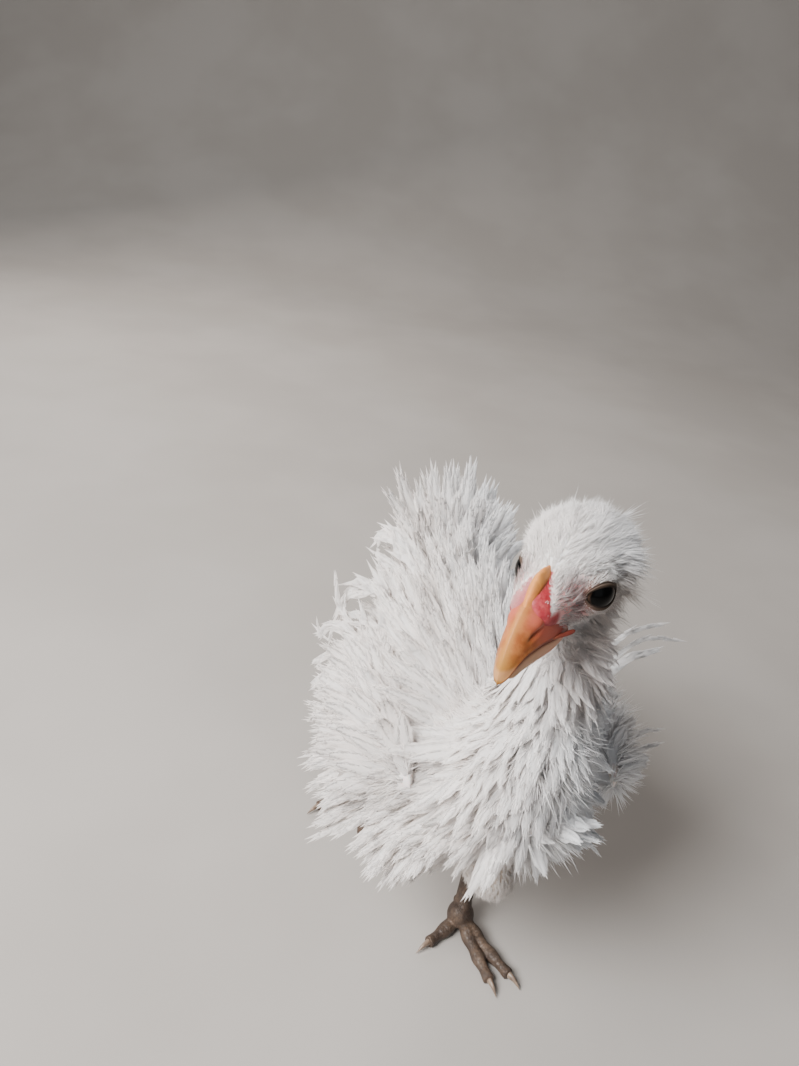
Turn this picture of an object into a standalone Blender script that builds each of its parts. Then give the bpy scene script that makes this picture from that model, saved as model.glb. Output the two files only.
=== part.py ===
"""A young white frizzle chicken, standing, as a still life-size model.

Metres, +Z up. The bird faces -Y and its own left is +X. It stands on the floor at z = 0,
and the origin lies on the floor under the middle of its bounding box.
Every shape is worked out in body axes, whose origin is on the floor under the middle of
the trunk. The root empty then moves the whole bird so that its box is centred.
"""

import math

import bmesh
import bpy
import numpy as np
from mathutils import Matrix, Vector
from mathutils.bvhtree import BVHTree

# Gap kept between two nodes that touch.
GAP = 0.0003
# Moves the body axes so that the bounding box is centred on the origin.
BOX_SHIFT = (-0.0047, -0.0141, 0.0)

# Head: point between the eyes, and the head's own axes. It is turned to the bird's right.
HEAD_CENTRE = np.array((-0.005, -0.038, 0.173))
HEAD_YAW = math.radians(41.5)
HEAD_PITCH = math.radians(-7.7)
HEAD_ROLL = math.radians(-6.0)
EYE_RADIUS = 0.0053
EYE_FORWARD = 0.0015
EYE_OUT = 0.0080
EYE_AXIS = (0.46, 0.87, 0.14)
LID_OPENING = 0.0040
LID_THICKNESS = 0.0008

# Skull with its down: forward, up, half width, height above, depth below, in head axes.
HEAD_ROWS = (
    (0.0165, 0.0000, 0.0062, 0.0072, 0.0075),
    (0.0078, 0.0006, 0.0098, 0.0125, 0.0105),
    (-0.0012, 0.0010, 0.0128, 0.0152, 0.0125),
    (-0.0102, 0.0006, 0.0146, 0.0160, 0.0141),
    (-0.0188, -0.0006, 0.0142, 0.0148, 0.0144),
    (-0.0272, -0.0024, 0.0122, 0.0118, 0.0127),
)
HEAD_ENDS = (0.18, 0.42)
# Ear opening behind and below the eye: forward, out, up.
EAR = (-0.0120, 0.0142, -0.0050)

# Bill: forward, level of the mouth line, half width, height above it, depth below it.
BILL_ROWS = (
    (0.0080, -0.0086, 0.0068, 0.0168, 0.0052),
    (0.0140, -0.0074, 0.0059, 0.0150, 0.0048),
    (0.0200, -0.0070, 0.0046, 0.0110, 0.0042),
    (0.0260, -0.0079, 0.0031, 0.0079, 0.0030),
    (0.0315, -0.0105, 0.0012, 0.0040, 0.0012),
)
LOWER_BILL_SHARE = 0.90
CULMEN_RIDGE = 1.5
NOSTRIL = (0.0190, 0.0042, -0.0012)
NOSTRIL_SLANT = math.radians(-28)
# Comb: a low blade along the top of the bill's root.
COMB_START, COMB_END = 0.0095, 0.0190
COMB_HEIGHT = 0.0026
COMB_POINTS = 4
COMB_THICKNESS = 0.0014

# Trunk from breast to tail root: x, y, z, half width, height above, depth below.
TRUNK_ROWS = (
    (0.0, -0.047, 0.092, 0.027, 0.025, 0.027),
    (0.0, -0.022, 0.089, 0.032, 0.032, 0.034),
    (0.0, 0.002, 0.088, 0.033, 0.033, 0.035),
    (0.0, 0.027, 0.092, 0.029, 0.028, 0.032),
    (0.0, 0.054, 0.100, 0.018, 0.015, 0.019),
)
# Neck from the trunk to the skull: x, y, z, half width, half depth behind and in front.
NECK_ROWS = (
    (0.000, -0.026, 0.100, 0.0200, 0.0180, 0.0190),
    (0.000, -0.034, 0.120, 0.0160, 0.0150, 0.0160),
    (0.002, -0.034, 0.140, 0.0115, 0.0115, 0.0115),
    (0.005, -0.029, 0.156, 0.0095, 0.0095, 0.0090),
    (0.004, -0.030, 0.168, 0.0085, 0.0085, 0.0080),
)
# Folded left wing from shoulder to tip: x, y, z, half thickness, height above, depth below.
WING_ROWS = (
    (0.0310, -0.032, 0.096, 0.0050, 0.009, 0.009),
    (0.0355, -0.015, 0.095, 0.0065, 0.012, 0.012),
    (0.0365, 0.003, 0.094, 0.0065, 0.012, 0.013),
    (0.0340, 0.021, 0.093, 0.0060, 0.010, 0.011),
    (0.0290, 0.038, 0.092, 0.0040, 0.007, 0.007),
)
# How far the wing's upper edge leans towards the back.
WING_LEAN = 0.35
# Tail root: x, y, z, half width, height above, depth below.
TAIL_ROWS = (
    (0.0, 0.044, 0.098, 0.013, 0.010, 0.010),
    (0.0, 0.055, 0.104, 0.013, 0.009, 0.009),
    (0.0, 0.067, 0.112, 0.011, 0.006, 0.006),
)

# Feathers. Angles are in degrees from the surface, at the root and at the curled tip.
FEATHER_SEED = 7
# Width of a vane along its length, as shares of each.
VANE_LENGTHS = (0.0, 0.35, 0.60, 0.85, 1.0)
VANE_WIDTHS = (0.50, 0.95, 1.0, 0.68, 0.0)
VANE_THICKNESS = 0.0008
BODY_RINGS = 3
FLIGHT_RINGS = 4
VANE_CAMBER = 0.10
ROOT_DEPTH = 0.0025
CLEARANCE = 0.0004
# Ways to bend a feather clear: share of its length, degrees steeper, degrees turned sideways.
TRIES = (
    (1.0, 0, 0), (1.0, 10, 0), (1.0, 0, 14), (1.0, 0, -14), (0.85, 12, 0),
    (0.85, 0, 22), (0.85, 0, -22), (0.7, 22, 0), (0.7, 10, 30), (0.7, 10, -30), (0.8, 36, 0),
    (0.6, 30, 0), (0.6, 48, 0), (0.5, 20, 50), (0.5, 20, -50), (0.45, 60, 0),
)
# Long curls of the right wing and of the back's right side: share of the run, angle round the
# form in degrees, length and rise. Those of the left wing stand out loosely, and their lie is
# given too.
RIGHT_WING_CURLS = ((0.55, 44, 0.0300, 40), (0.78, 44, 0.0320, 40), (0.92, 20, 0.0320, 34))
LEFT_WING_CURLS = (
    (0.40, -8, 0.0300, 52, (0.0, 0.45, -0.70)),
    (0.60, 34, 0.0320, 50, (0.0, 0.70, 0.75)),
    (0.78, 10, 0.0270, 50, (0.0, 0.90, 0.10)),
)
LEFT_CURL_WIDTH = 0.0034
BACK_CURLS = ((0.74, 140, 0.0340, 46), (0.66, 120, 0.0330, 50), (0.82, 112, 0.0320, 44))
TRUNK_FEATHER_ROWS = 10
TRUNK_FEATHER_SPACING = 0.0118
LOWEST_TIP = 0.048

# Legs: centre of the ball of the foot, and the hock above it.
BALL_HEIGHT = 0.0052
LEFT_BALL = np.array((0.0035, -0.0090, BALL_HEIGHT))
LEFT_HOCK = np.array((0.0120, 0.0130, 0.0440))
RIGHT_BALL = np.array((-0.0270, 0.0580, BALL_HEIGHT))
RIGHT_HOCK = np.array((-0.0225, 0.0420, 0.0460))
# Drumsticks down to the hock: x, y, z, half width, half depth behind and in front.
LEFT_THIGH_ROWS = (
    (0.0240, -0.0140, 0.0740, 0.0130, 0.0140, 0.0140),
    (0.0215, -0.0050, 0.0640, 0.0115, 0.0125, 0.0125),
    (0.0165, 0.0055, 0.0535, 0.0080, 0.0085, 0.0085),
    (0.0120, 0.0130, 0.0440, 0.0050, 0.0052, 0.0052),
)
RIGHT_THIGH_ROWS = (
    (-0.0230, 0.0020, 0.0740, 0.0130, 0.0140, 0.0140),
    (-0.0232, 0.0170, 0.0650, 0.0115, 0.0125, 0.0125),
    (-0.0230, 0.0310, 0.0550, 0.0080, 0.0085, 0.0085),
    (-0.0225, 0.0420, 0.0460, 0.0050, 0.0052, 0.0052),
)
SHANK_RADIUS = 0.0029
SHANK_SCUTES = 7
SCUTE_LIFT = 0.0004
STEM_RADIUS = 0.0039
STEM_HEIGHT = 0.0085
# Toes: name, heading in degrees from straight ahead to the bird's left, length without claw.
LEFT_TOES = (
    ("inner", -57.0, 0.0155),
    ("middle", 14.0, 0.0245),
    ("outer", 31.0, 0.0260),
    ("hind", 168.0, 0.0095),
)
RIGHT_TOES = (
    ("inner", 36.0, 0.0185),
    ("middle", -4.0, 0.0260),
    ("outer", -58.0, 0.0220),
    ("hind", 172.0, 0.0095),
)
TOE_JOINTS = {"inner": 2, "middle": 3, "outer": 3, "hind": 1}
TOE_SCUTES = {"inner": 3, "middle": 5, "outer": 5, "hind": 2}
TOE_RADIUS = 0.0026
TOE_AXIS_HEIGHT = 0.0019
CLAW_LENGTH = 0.0056
CLAW_RADIUS = 0.0014

# Colours.
WHITE = (0.88, 0.86, 0.83)
COMB_RED = (0.82, 0.36, 0.20)
BILL_ORANGE = (0.80, 0.45, 0.17)
LEG_BROWN = (0.14, 0.10, 0.08)
CLAW_HORN = (0.30, 0.22, 0.17)
EYE_BLACK = (0.015, 0.010, 0.008)


def clear_scene():
    for obj in list(bpy.data.objects):
        bpy.data.objects.remove(obj, do_unlink=True)


def new_collection(name):
    made = bpy.data.collections.new(name)
    bpy.context.scene.collection.children.link(made)
    return made


def unit(v):
    v = np.asarray(v, float)
    return v / np.maximum(np.linalg.norm(v, axis=-1, keepdims=True), 1e-12)


def smooth_curve(keys, where):
    """Catmull-Rom curve through equally spaced keys, read at shares 0 to 1 of its run."""
    keys = np.asarray(keys, float)
    padded = np.vstack([2 * keys[0] - keys[1], keys, 2 * keys[-1] - keys[-2]])
    place = np.clip(np.asarray(where, float), 0, 1) * (len(keys) - 1)
    left = np.minimum(place.astype(int), len(keys) - 2)
    t = (place - left)[:, None]
    a, b, c, d = (padded[left + k] for k in range(4))
    bend = (2 * a - 5 * b + 4 * c - d) * t + (3 * b - a - 3 * c + d) * t**2
    return b + 0.5 * t * ((c - a) + bend)


def object_from_bmesh(name, work):
    """Splits faces into triangles in one fixed way, turns them outwards and makes the object."""
    bmesh.ops.triangulate(work, faces=work.faces, quad_method="FIXED")
    bmesh.ops.recalc_face_normals(work, faces=work.faces)
    mesh = bpy.data.meshes.new(name)
    work.to_mesh(mesh)
    work.free()
    return bpy.data.objects.new(name, mesh)


def rings_to_mesh(name, rings, first, last):
    """Skins a run of rings, and closes each end to a point."""
    work = bmesh.new()
    made = [[work.verts.new(p) for p in ring] for ring in rings]
    for near, far in zip(made, made[1:]):
        for j in range(len(near)):
            k = (j + 1) % len(near)
            work.faces.new((near[j], near[k], far[k], far[j]))
    for ring, pole in ((made[0], first), (made[-1], last)):
        top = work.verts.new(pole)
        for j in range(len(ring)):
            work.faces.new((top, ring[j], ring[(j + 1) % len(ring)]))
    return object_from_bmesh(name, work)


def end_rounding(run, start, end):
    """Size factor that rounds both ends of a form, a quarter ellipse over each end's share."""
    near = 1 - np.clip(run / start, 0, 1)
    far = 1 - np.clip((1 - run) / end, 0, 1)
    return np.sqrt((1 - near**2) * (1 - far**2))


def path_direction(rows, run):
    step = 0.002
    return unit(smooth_curve(rows, run + step)[:, :3] - smooth_curve(rows, run - step)[:, :3])


def loft_points(rows, dorsal, run, ends, grow, angle, ridge):
    """Points of a form at shares of its run and angles round it, with its first and last points.

    The sections stand square to the path, with dorsal towards their upper side. Each is two
    half ellipses: half width, then height above and depth below. grow widens it all round, or
    in those three ways. A ridge over 1 draws the upper half up to a crest.
    """
    grow = np.broadcast_to(grow, 3)
    keyed = smooth_curve(rows, run)
    along = path_direction(rows, run)
    side = unit(np.cross(along, np.asarray(dorsal, float)))
    up = np.cross(side, along)
    sizes = keyed[:, 3:] * end_rounding(run, *ends)[:, None] + grow
    c, s = np.cos(angle), np.sin(angle)
    crest = np.where(s > 0, ridge, 1.0)
    out = sizes[:, :1] * (np.sign(c) * np.abs(c) ** crest)
    high = np.where(s >= 0, sizes[:, 1:2], sizes[:, 2:3]) * s
    points = keyed[:, None, :3] + side[:, None] * out[..., None] + up[:, None] * high[..., None]
    poles = smooth_curve(rows, (0.0, 1.0))[:, :3]
    heading = path_direction(rows, np.array((0.0, 1.0)))
    return points, poles[0] - heading[0] * grow[1], poles[1] + heading[1] * grow[1]


def loft(name, rows, dorsal, rings, sides, ends=(0.5, 0.5), grow=0.0, ridge=1.0):
    """Closed form through stations of x, y, z, half width, height above, depth below."""
    run = (1 - np.cos(math.pi * (np.arange(rings) + 0.5) / rings)) / 2
    angle = np.arange(sides) * 2 * math.pi / sides
    return rings_to_mesh(name, *loft_points(rows, dorsal, run, ends, grow, angle, ridge))


def placed(obj, axes, centre):
    """Turns a mesh so that its x, y and z follow the three rows of axes, and moves it."""
    turn = Matrix(np.asarray(axes, float).T.tolist()).to_4x4()
    obj.data.transform(Matrix.Translation(Vector(centre)) @ turn)
    return obj


def ball(name, centre, radii, axes=np.eye(3), columns=16, rows=10):
    """An ellipsoid with its radii along the three given axes."""
    work = bmesh.new()
    bmesh.ops.create_uvsphere(work, u_segments=columns, v_segments=rows, radius=1.0)
    bmesh.ops.scale(work, vec=radii, verts=work.verts)
    return placed(object_from_bmesh(name, work), axes, centre)


def keep_largest(obj):
    """Leaves only the largest closed surface, which drops loose scraps and sealed hollows."""
    work = bmesh.new()
    work.from_mesh(obj.data)
    bmesh.ops.remove_doubles(work, verts=work.verts, dist=1e-7)
    unseen, islands = set(work.faces), []
    while unseen:
        queue, island = [unseen.pop()], []
        while queue:
            face = queue.pop()
            island.append(face)
            near = {f for edge in face.edges for f in edge.link_faces} & unseen
            unseen -= near
            queue.extend(near)
        islands.append(island)
    islands.sort(key=lambda faces: sum(f.calc_area() for f in faces), reverse=True)
    spare = [face for island in islands[1:] for face in island]
    bmesh.ops.delete(work, geom=spare, context="FACES")
    work.to_mesh(obj.data)
    work.free()
    return obj


def boolean(base, others, operation, cutters, solver="EXACT"):
    """Joins base with the other closed meshes, or cuts it with them, and removes them."""
    group = bpy.data.collections.new("boolean_pieces")
    cutters.children.link(group)
    for other in others:
        other.hide_render = True
        other.display_type = "WIRE"
        group.objects.link(other)
    bpy.context.scene.collection.objects.link(base)
    step = base.modifiers.new("boolean", "BOOLEAN")
    step.operation = operation
    step.operand_type = "COLLECTION"
    step.collection = group
    step.solver = solver
    graph = bpy.context.evaluated_depsgraph_get()
    made = bpy.data.meshes.new_from_object(base.evaluated_get(graph))
    base.modifiers.clear()
    base.data = made
    bpy.context.scene.collection.objects.unlink(base)
    for other in others:
        bpy.data.objects.remove(other, do_unlink=True)
    bpy.data.collections.remove(group)
    return keep_largest(base)


def join(base, pieces, cutters):
    return boolean(base, pieces, "UNION", cutters)


def cut(base, takers, cutters):
    for taker in takers:
        boolean(base, [taker], "DIFFERENCE", cutters)
    return base


def surface_place(rows, dorsal, ends, run, angle):
    """A point on a form at a share of its run and an angle round it, and its outward normal."""
    step = 0.004
    around = angle + np.array((0.0, step))
    points = loft_points(rows, dorsal, np.array((run, run + step)), ends, 0.0, around, 1.0)[0]
    centre = smooth_curve(rows, np.array((run,)))[0, :3]
    out = unit(np.cross(points[1, 0] - points[0, 0], points[0, 1] - points[0, 0]))
    return points[0, 0], out if out @ (points[0, 0] - centre) > 0 else -out


def vane(root, lie, out, length, width, rise, curl, rings, grow=0.0):
    """One feather: a thin vane of flat diamond section, sunk at its root, that curls outwards.

    Its direction turns from the lie towards the outward normal, by rise degrees at the root
    and curl degrees at the tip. Every strip between edge and midline is split from the edge's
    near corner to the midline's far one, so both faces have the same triangles.
    """
    shares = np.append(np.linspace(0.0, 1.0, rings + 1)[:-1] * 1.08, 1.0)
    steep = np.radians(rise + (curl - rise) * shares)[:, None]
    heading = lie * np.cos(steep) + out * np.sin(steep)
    steps = (heading[1:] + heading[:-1]) / 2 * (np.diff(shares) * (length + grow))[:, None]
    line = root + np.vstack([np.zeros(3), np.cumsum(steps, 0)])
    line[0] -= heading[0] * ROOT_DEPTH
    side = unit(np.cross(lie, out))
    face = np.cross(side, heading)
    half = (np.interp(shares[:-1], VANE_LENGTHS, VANE_WIDTHS) * width / 2 + grow)[:, None]
    thick = VANE_THICKNESS / 2 + grow
    middle, face = line[:-1], face[:-1]
    cup = face * half * VANE_CAMBER
    across, through = side * half, face * thick
    corners = (middle + across - cup, middle + through, middle - across - cup, middle - through)
    work = bmesh.new()
    sections = [[work.verts.new(corner[i]) for corner in corners] for i in range(rings)]
    strips = ((0, 1), (2, 1), (2, 3), (0, 3))
    for near, far in zip(sections, sections[1:]):
        for edge, mid in strips:
            work.faces.new((near[edge], near[mid], far[mid]))
            work.faces.new((near[edge], far[mid], far[edge]))
    work.faces.new(sections[0])
    tip = work.verts.new(line[-1])
    for edge, mid in strips:
        work.faces.new((sections[-1][edge], sections[-1][mid], tip))
    return object_from_bmesh("vane", work)


def tree_of(obj, keep_from=0):
    """Search tree of a mesh's triangles, or of those whose corners all come after keep_from."""
    points = [v.co.copy() for v in obj.data.vertices]
    faces = [tuple(p.vertices) for p in obj.data.polygons if min(p.vertices) >= keep_from]
    return BVHTree.FromPolygons(points, faces)


def grow_feathers(core, sites, obstacles, cutters):
    """Joins to a core each feather that can be set, or bent, clear of the obstacles and its neighbours.

    A site is root, lie, out, length, width, rise, curl and rings. A thicker copy of each vane
    is tested, so that CLEARANCE is kept. Feathers of one node may meet at their roots only.
    """
    grown, set_already = [], []
    for root, lie, out, length, width, rise, curl, rings in sites:
        lie = unit(lie - out * (lie @ out))
        side = np.cross(lie, out)
        for share, steeper, turned in TRIES:
            a = math.radians(turned)
            way = lie * math.cos(a) + side * math.sin(a)
            bend = (rise + steeper, curl + steeper * 0.5)
            shape = (root, way, out, length * share, width, *bend, rings)
            fat = vane(*shape, grow=CLEARANCE)
            whole, outer = tree_of(fat), tree_of(fat, 4)
            bpy.data.objects.remove(fat, do_unlink=True)
            if any(whole.overlap(tree) for tree in obstacles):
                continue
            near = [trees for place, trees in set_already if np.linalg.norm(place - root) < 2 * length]
            if any(outer.overlap(full) or whole.overlap(end) for full, end in near):
                continue
            grown.append(vane(*shape))
            set_already.append((root, (tree_of(grown[-1]), tree_of(grown[-1], 4))))
            break
    return join(core, grown, cutters)


def row_of(count, row):
    """Equal shares 0 to 1 for the feathers of one row, the odd rows set half a place on."""
    return (np.arange(count) + 0.5 * (row % 2) + 0.25) / count


def trunk_sites(draw):
    """Rows of body feathers round the trunk, but for the bare keel between the legs."""
    sites = []
    for run, angle, length, rise in BACK_CURLS:
        root, out = surface_place(TRUNK_ROWS, (0, 0, 1), (0.5, 0.5), run, math.radians(angle))
        sites.append((root, np.array((-0.3, 1.0, 0.4)), out, length, 0.0070, rise, rise + 60, FLIGHT_RINGS))
    runs = (1 - np.cos(np.radians(np.linspace(17, 160, TRUNK_FEATHER_ROWS)))) / 2
    for row, run in enumerate(runs):
        girth = smooth_curve(TRUNK_ROWS, np.array((run,)))[0, 3] * end_rounding(run, 0.5, 0.5)
        count = max(6, round(2 * math.pi * girth / TRUNK_FEATHER_SPACING))
        for share in row_of(count, row):
            angle = 2 * math.pi * share - math.pi / 2
            root, out = surface_place(TRUNK_ROWS, (0, 0, 1), (0.5, 0.5), run, angle)
            if out[2] < -0.85 and run < 0.75:
                continue
            upper = max(out[2], 0)
            sideways, slope = draw.normal(0, 0.10), draw.normal(0, 0.08)
            lie = np.array((sideways, 1.0, slope - 0.9 * (1 - run) + 0.5 * upper))
            length = (0.0255 - 0.0050 * upper * (1 - run)) * draw.uniform(0.88, 1.10)
            # The coat is shorter on the lower breast, and closer on the left than on the right.
            length *= 1 - 0.32 * max(-out[1], 0) * (1 - upper) - 0.14 * max(out[0], 0)
            length = min(length, (root[2] - LOWEST_TIP) * 1.3)
            rise = 36 - 8 * upper * (1 - run) + draw.uniform(-4, 4)
            width = 0.0090 * draw.uniform(0.9, 1.1)
            sites.append((root, lie, out, length, width, rise, rise + 46, BODY_RINGS))
    return sites


def neck_sites(draw):
    """Hackles down the neck, shorter towards the head."""
    sites = []
    for row, run in enumerate(np.linspace(0.12, 0.84, 5)):
        for share in row_of(9, row):
            root, out = surface_place(NECK_ROWS, (0, 1, 0), (0.06, 0.06), run, 2 * math.pi * share)
            lie = -path_direction(NECK_ROWS, np.array((run,)))[0]
            length = (0.0215 - 0.0095 * run) * draw.uniform(0.9, 1.1)
            rise = 16 + draw.uniform(-3, 3)
            sites.append((root, lie, out, length, 0.0068 - 0.002 * run, rise, 50, BODY_RINGS))
    return sites


def wing_sites(side, draw):
    """Flight feathers along the wing's lower rear edge, then four tiers of coverts above them."""
    rows = [(side * row[0], *row[1:]) for row in WING_ROWS]
    # Per tier: angle above the outer face, first and last share of the wing, count of feathers,
    # their length, how far their lie drops, their rise and their rings.
    tiers = (
        (-62, 0.62, 0.96, 6, 0.0350, 0.35, 10, FLIGHT_RINGS),
        (-66, 0.22, 0.56, 6, 0.0300, 0.70, 14, FLIGHT_RINGS),
        (-22, 0.14, 0.88, 6, 0.0230, 0.45, 22, BODY_RINGS),
        (24, 0.12, 0.84, 6, 0.0190, 0.35, 28, BODY_RINGS),
        (66, 0.16, 0.80, 5, 0.0180, -0.10, 32, BODY_RINGS),
    )
    sites = []
    for angle, first, last, count, length, drop, rise, rings in tiers:
        for run in np.linspace(first, last, count):
            root, out = wing_place(rows, side, run, angle)
            lie = np.array((0.0, 1.0, -drop + draw.normal(0, 0.05)))
            length_here = length * draw.uniform(0.93, 1.07)
            # The left wing's feathers lie closer.
            rise_here = rise * (0.7 if side > 0 else 1.0)
            sites.append((root, lie, out, length_here, 0.0078, rise_here, rise_here + 44, rings))
    if side < 0:
        for run, angle, length, rise in RIGHT_WING_CURLS:
            root, out = wing_place(rows, side, run, angle)
            curl = (root, np.array((0.0, 1.0, 0.2)), out, length, 0.0070, rise, rise + 70, FLIGHT_RINGS)
            sites.insert(0, curl)
    else:
        for run, angle, length, rise, lie in LEFT_WING_CURLS:
            root, out = wing_place(rows, side, run, angle)
            curl = (root, np.array(lie), out, length, LEFT_CURL_WIDTH, rise, rise + 14, FLIGHT_RINGS)
            sites.insert(0, curl)
    return sites


def wing_place(rows, side, run, angle):
    """A point on a wing and its outward normal; the angle counts up from its outer face."""
    turned = math.radians(angle if side > 0 else 180 - angle)
    return surface_place(rows, (-side * WING_LEAN, 0, 1), (0.4, 0.5), run, turned)


def tail_sites(draw):
    """A fan of tail feathers in two tiers, with shorter coverts above and below."""
    back = path_direction(TAIL_ROWS, np.array((0.8,)))[0]
    up = np.cross((1.0, 0, 0), back)
    middle = np.array(TAIL_ROWS[1][:3])
    # Per tier: height of the roots, how far back they sit, count of feathers, angle of the
    # outermost, length, width, curl, which way they curl, and their rings.
    tiers = (
        (0.0010, 0.0080, 7, 36, 0.0470, 0.0100, 34, 1, FLIGHT_RINGS),
        (-0.0020, 0.0090, 6, 31, 0.0500, 0.0100, 26, 1, FLIGHT_RINGS),
        (0.0060, 0.0020, 6, 46, 0.0270, 0.0085, 62, 1, BODY_RINGS),
        (-0.0065, 0.0020, 5, 42, 0.0230, 0.0080, 50, -1, BODY_RINGS),
    )
    across = np.array((1.0, 0.0, 0.0))
    sites = []
    for height, behind, count, fan, length, width, curl, upward, rings in tiers:
        for angle in np.radians(np.linspace(-fan, fan, count)):
            lie = back * math.cos(angle) + across * math.sin(angle)
            root = middle + up * height + back * behind * math.cos(angle) + across * 0.010 * math.sin(angle)
            length_here = length * draw.uniform(0.92, 1.06) * (1 - 0.18 * abs(math.sin(angle)))
            sites.append((root, lie, up * upward, length_here, width, 4, curl, rings))
    return sites


def thigh_sites(rows, draw):
    """Short feathers on the drumstick."""
    sites = []
    for row, run in enumerate((0.40, 0.62)):
        for share in row_of(6, row):
            root, out = surface_place(rows, (0, 1, 0), (0.3, 0.06), run, 2 * math.pi * share)
            lie = path_direction(rows, np.array((run,)))[0]
            sites.append((root, lie, out, 0.0130 * draw.uniform(0.9, 1.1), 0.0062, 16, 48, BODY_RINGS))
    return sites


def add_node(obj, name, parts, root, colour, roughness, sharp_angle=40):
    """Names a finished solid, gives it a material of its own and hangs it on the root empty."""
    obj.name = name
    obj.data.name = name
    surface = bpy.data.materials.new(name + "_material")
    surface.use_nodes = True
    shader = surface.node_tree.nodes["Principled BSDF"]
    shader.inputs["Base Color"].default_value = (*colour, 1.0)
    shader.inputs["Roughness"].default_value = roughness
    shader.inputs["Metallic"].default_value = 0.0
    obj.data.materials.clear()
    obj.data.materials.append(surface)
    obj.data.shade_smooth()
    obj.data.set_sharp_from_angle(angle=math.radians(sharp_angle))
    parts.objects.link(obj)
    obj.parent = root


def head_axes():
    """Forward, left and up of the head, in body axes."""
    sy, cy = math.sin(HEAD_YAW), math.cos(HEAD_YAW)
    sp, cp = math.sin(HEAD_PITCH), math.cos(HEAD_PITCH)
    forward = np.array((-sy * cp, -cy * cp, sp))
    level_left = np.array((cy, -sy, 0.0))
    level_up = np.cross(forward, level_left)
    left = level_left * math.cos(HEAD_ROLL) - level_up * math.sin(HEAD_ROLL)
    return np.stack([forward, left, np.cross(forward, left)])


def on_head(forward, left, up):
    """A point given in head axes, in body axes."""
    return HEAD_CENTRE + np.array((forward, left, up)) @ head_axes()


def head_rows(rows):
    """Stations given as forward, up and sizes in head axes, ready for a loft."""
    return [(*on_head(row[0], 0.0, row[1]), *row[2:]) for row in rows]


def head_form(grow=0.0):
    return loft("head", head_rows(HEAD_ROWS), head_axes()[2], 12, 18, HEAD_ENDS, grow)


def eye_axes(side):
    """Axes of an eye: ahead, up and outwards."""
    out = unit(np.array((EYE_AXIS[0], side * EYE_AXIS[1], EYE_AXIS[2]))) @ head_axes()
    ahead = unit(head_axes()[0] - out * (head_axes()[0] @ out))
    return np.stack([ahead, np.cross(out, ahead), out])


def eye_centre(side):
    return on_head(EYE_FORWARD, side * EYE_OUT, 0.0)


def eyeball(side, grow=0.0):
    return ball("eye", eye_centre(side), (EYE_RADIUS + grow,) * 3, eye_axes(side), 12, 8)


def lid_rim(side):
    """Rim of the lids round the eye's opening: a ring, wider than high."""
    bpy.ops.mesh.primitive_torus_add(
        major_radius=LID_OPENING, minor_radius=LID_THICKNESS, major_segments=12, minor_segments=5
    )
    rim = bpy.context.object
    rim.users_collection[0].objects.unlink(rim)
    rim.data.transform(Matrix.Diagonal((1.12, 0.94, 1.0, 1.0)))
    out = math.sqrt(EYE_RADIUS**2 - LID_OPENING**2)
    return placed(rim, eye_axes(side), eye_centre(side) + eye_axes(side)[2] * out)


def ear_rim(side, grow=0.0):
    radii = np.array((0.0034, 0.0015, 0.0042)) + grow
    return ball("ear_rim", on_head(EAR[0], side * EAR[1], EAR[2]), radii, head_axes(), 8, 6)


def ear_cup(side):
    centre = on_head(EAR[0], side * (EAR[1] + 0.0014), EAR[2])
    return ball("ear_cup", centre, (0.0018, 0.0014, 0.0027), head_axes(), 8, 5)


def clear_of_head():
    """Cutters a gap larger than the head, for what meets it from below."""
    return [head_form(GAP), ear_rim(1, GAP), ear_rim(-1, GAP)]


def build_head(cutters):
    raised = [make(side) for side in (1, -1) for make in (lid_rim, ear_rim)]
    head = join(head_form(), raised, cutters)
    hollows = [eyeball(side, GAP) for side in (1, -1)] + [ear_cup(side) for side in (1, -1)]
    return cut(head, hollows, cutters)


def upper_bill_form(grow=0.0):
    rows = [(f, m + GAP / 2, w, a, GAP / 2) for f, m, w, a, _ in BILL_ROWS]
    return loft("bill", head_rows(rows), head_axes()[2], 9, 14, (0.02, 0.30), grow, CULMEN_RIDGE)


def lower_bill_form():
    keys = smooth_curve(BILL_ROWS, np.linspace(0, LOWER_BILL_SHARE, len(BILL_ROWS)))
    rows = [(f, m - GAP, w * 0.92, GAP / 2, b) for f, m, w, _, b in keys]
    return loft("bill", head_rows(rows), head_axes()[2], 8, 12, (0.02, 0.35))


def nostril_slot(side):
    """A slot that slants down and forward under the nostril's flap."""
    forward, left, up = head_axes()
    ahead = forward * math.cos(NOSTRIL_SLANT) + up * math.sin(NOSTRIL_SLANT)
    centre = on_head(NOSTRIL[0], side * NOSTRIL[1], NOSTRIL[2])
    return ball("nostril", centre, (0.0021, 0.0017, 0.0007), (ahead, left, np.cross(ahead, left)), 8, 6)


def build_upper_bill(cutters):
    return cut(upper_bill_form(), [head_form(GAP), nostril_slot(1), nostril_slot(-1)], cutters)


def build_lower_bill(cutters):
    return cut(lower_bill_form(), [head_form(GAP)], cutters)


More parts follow.
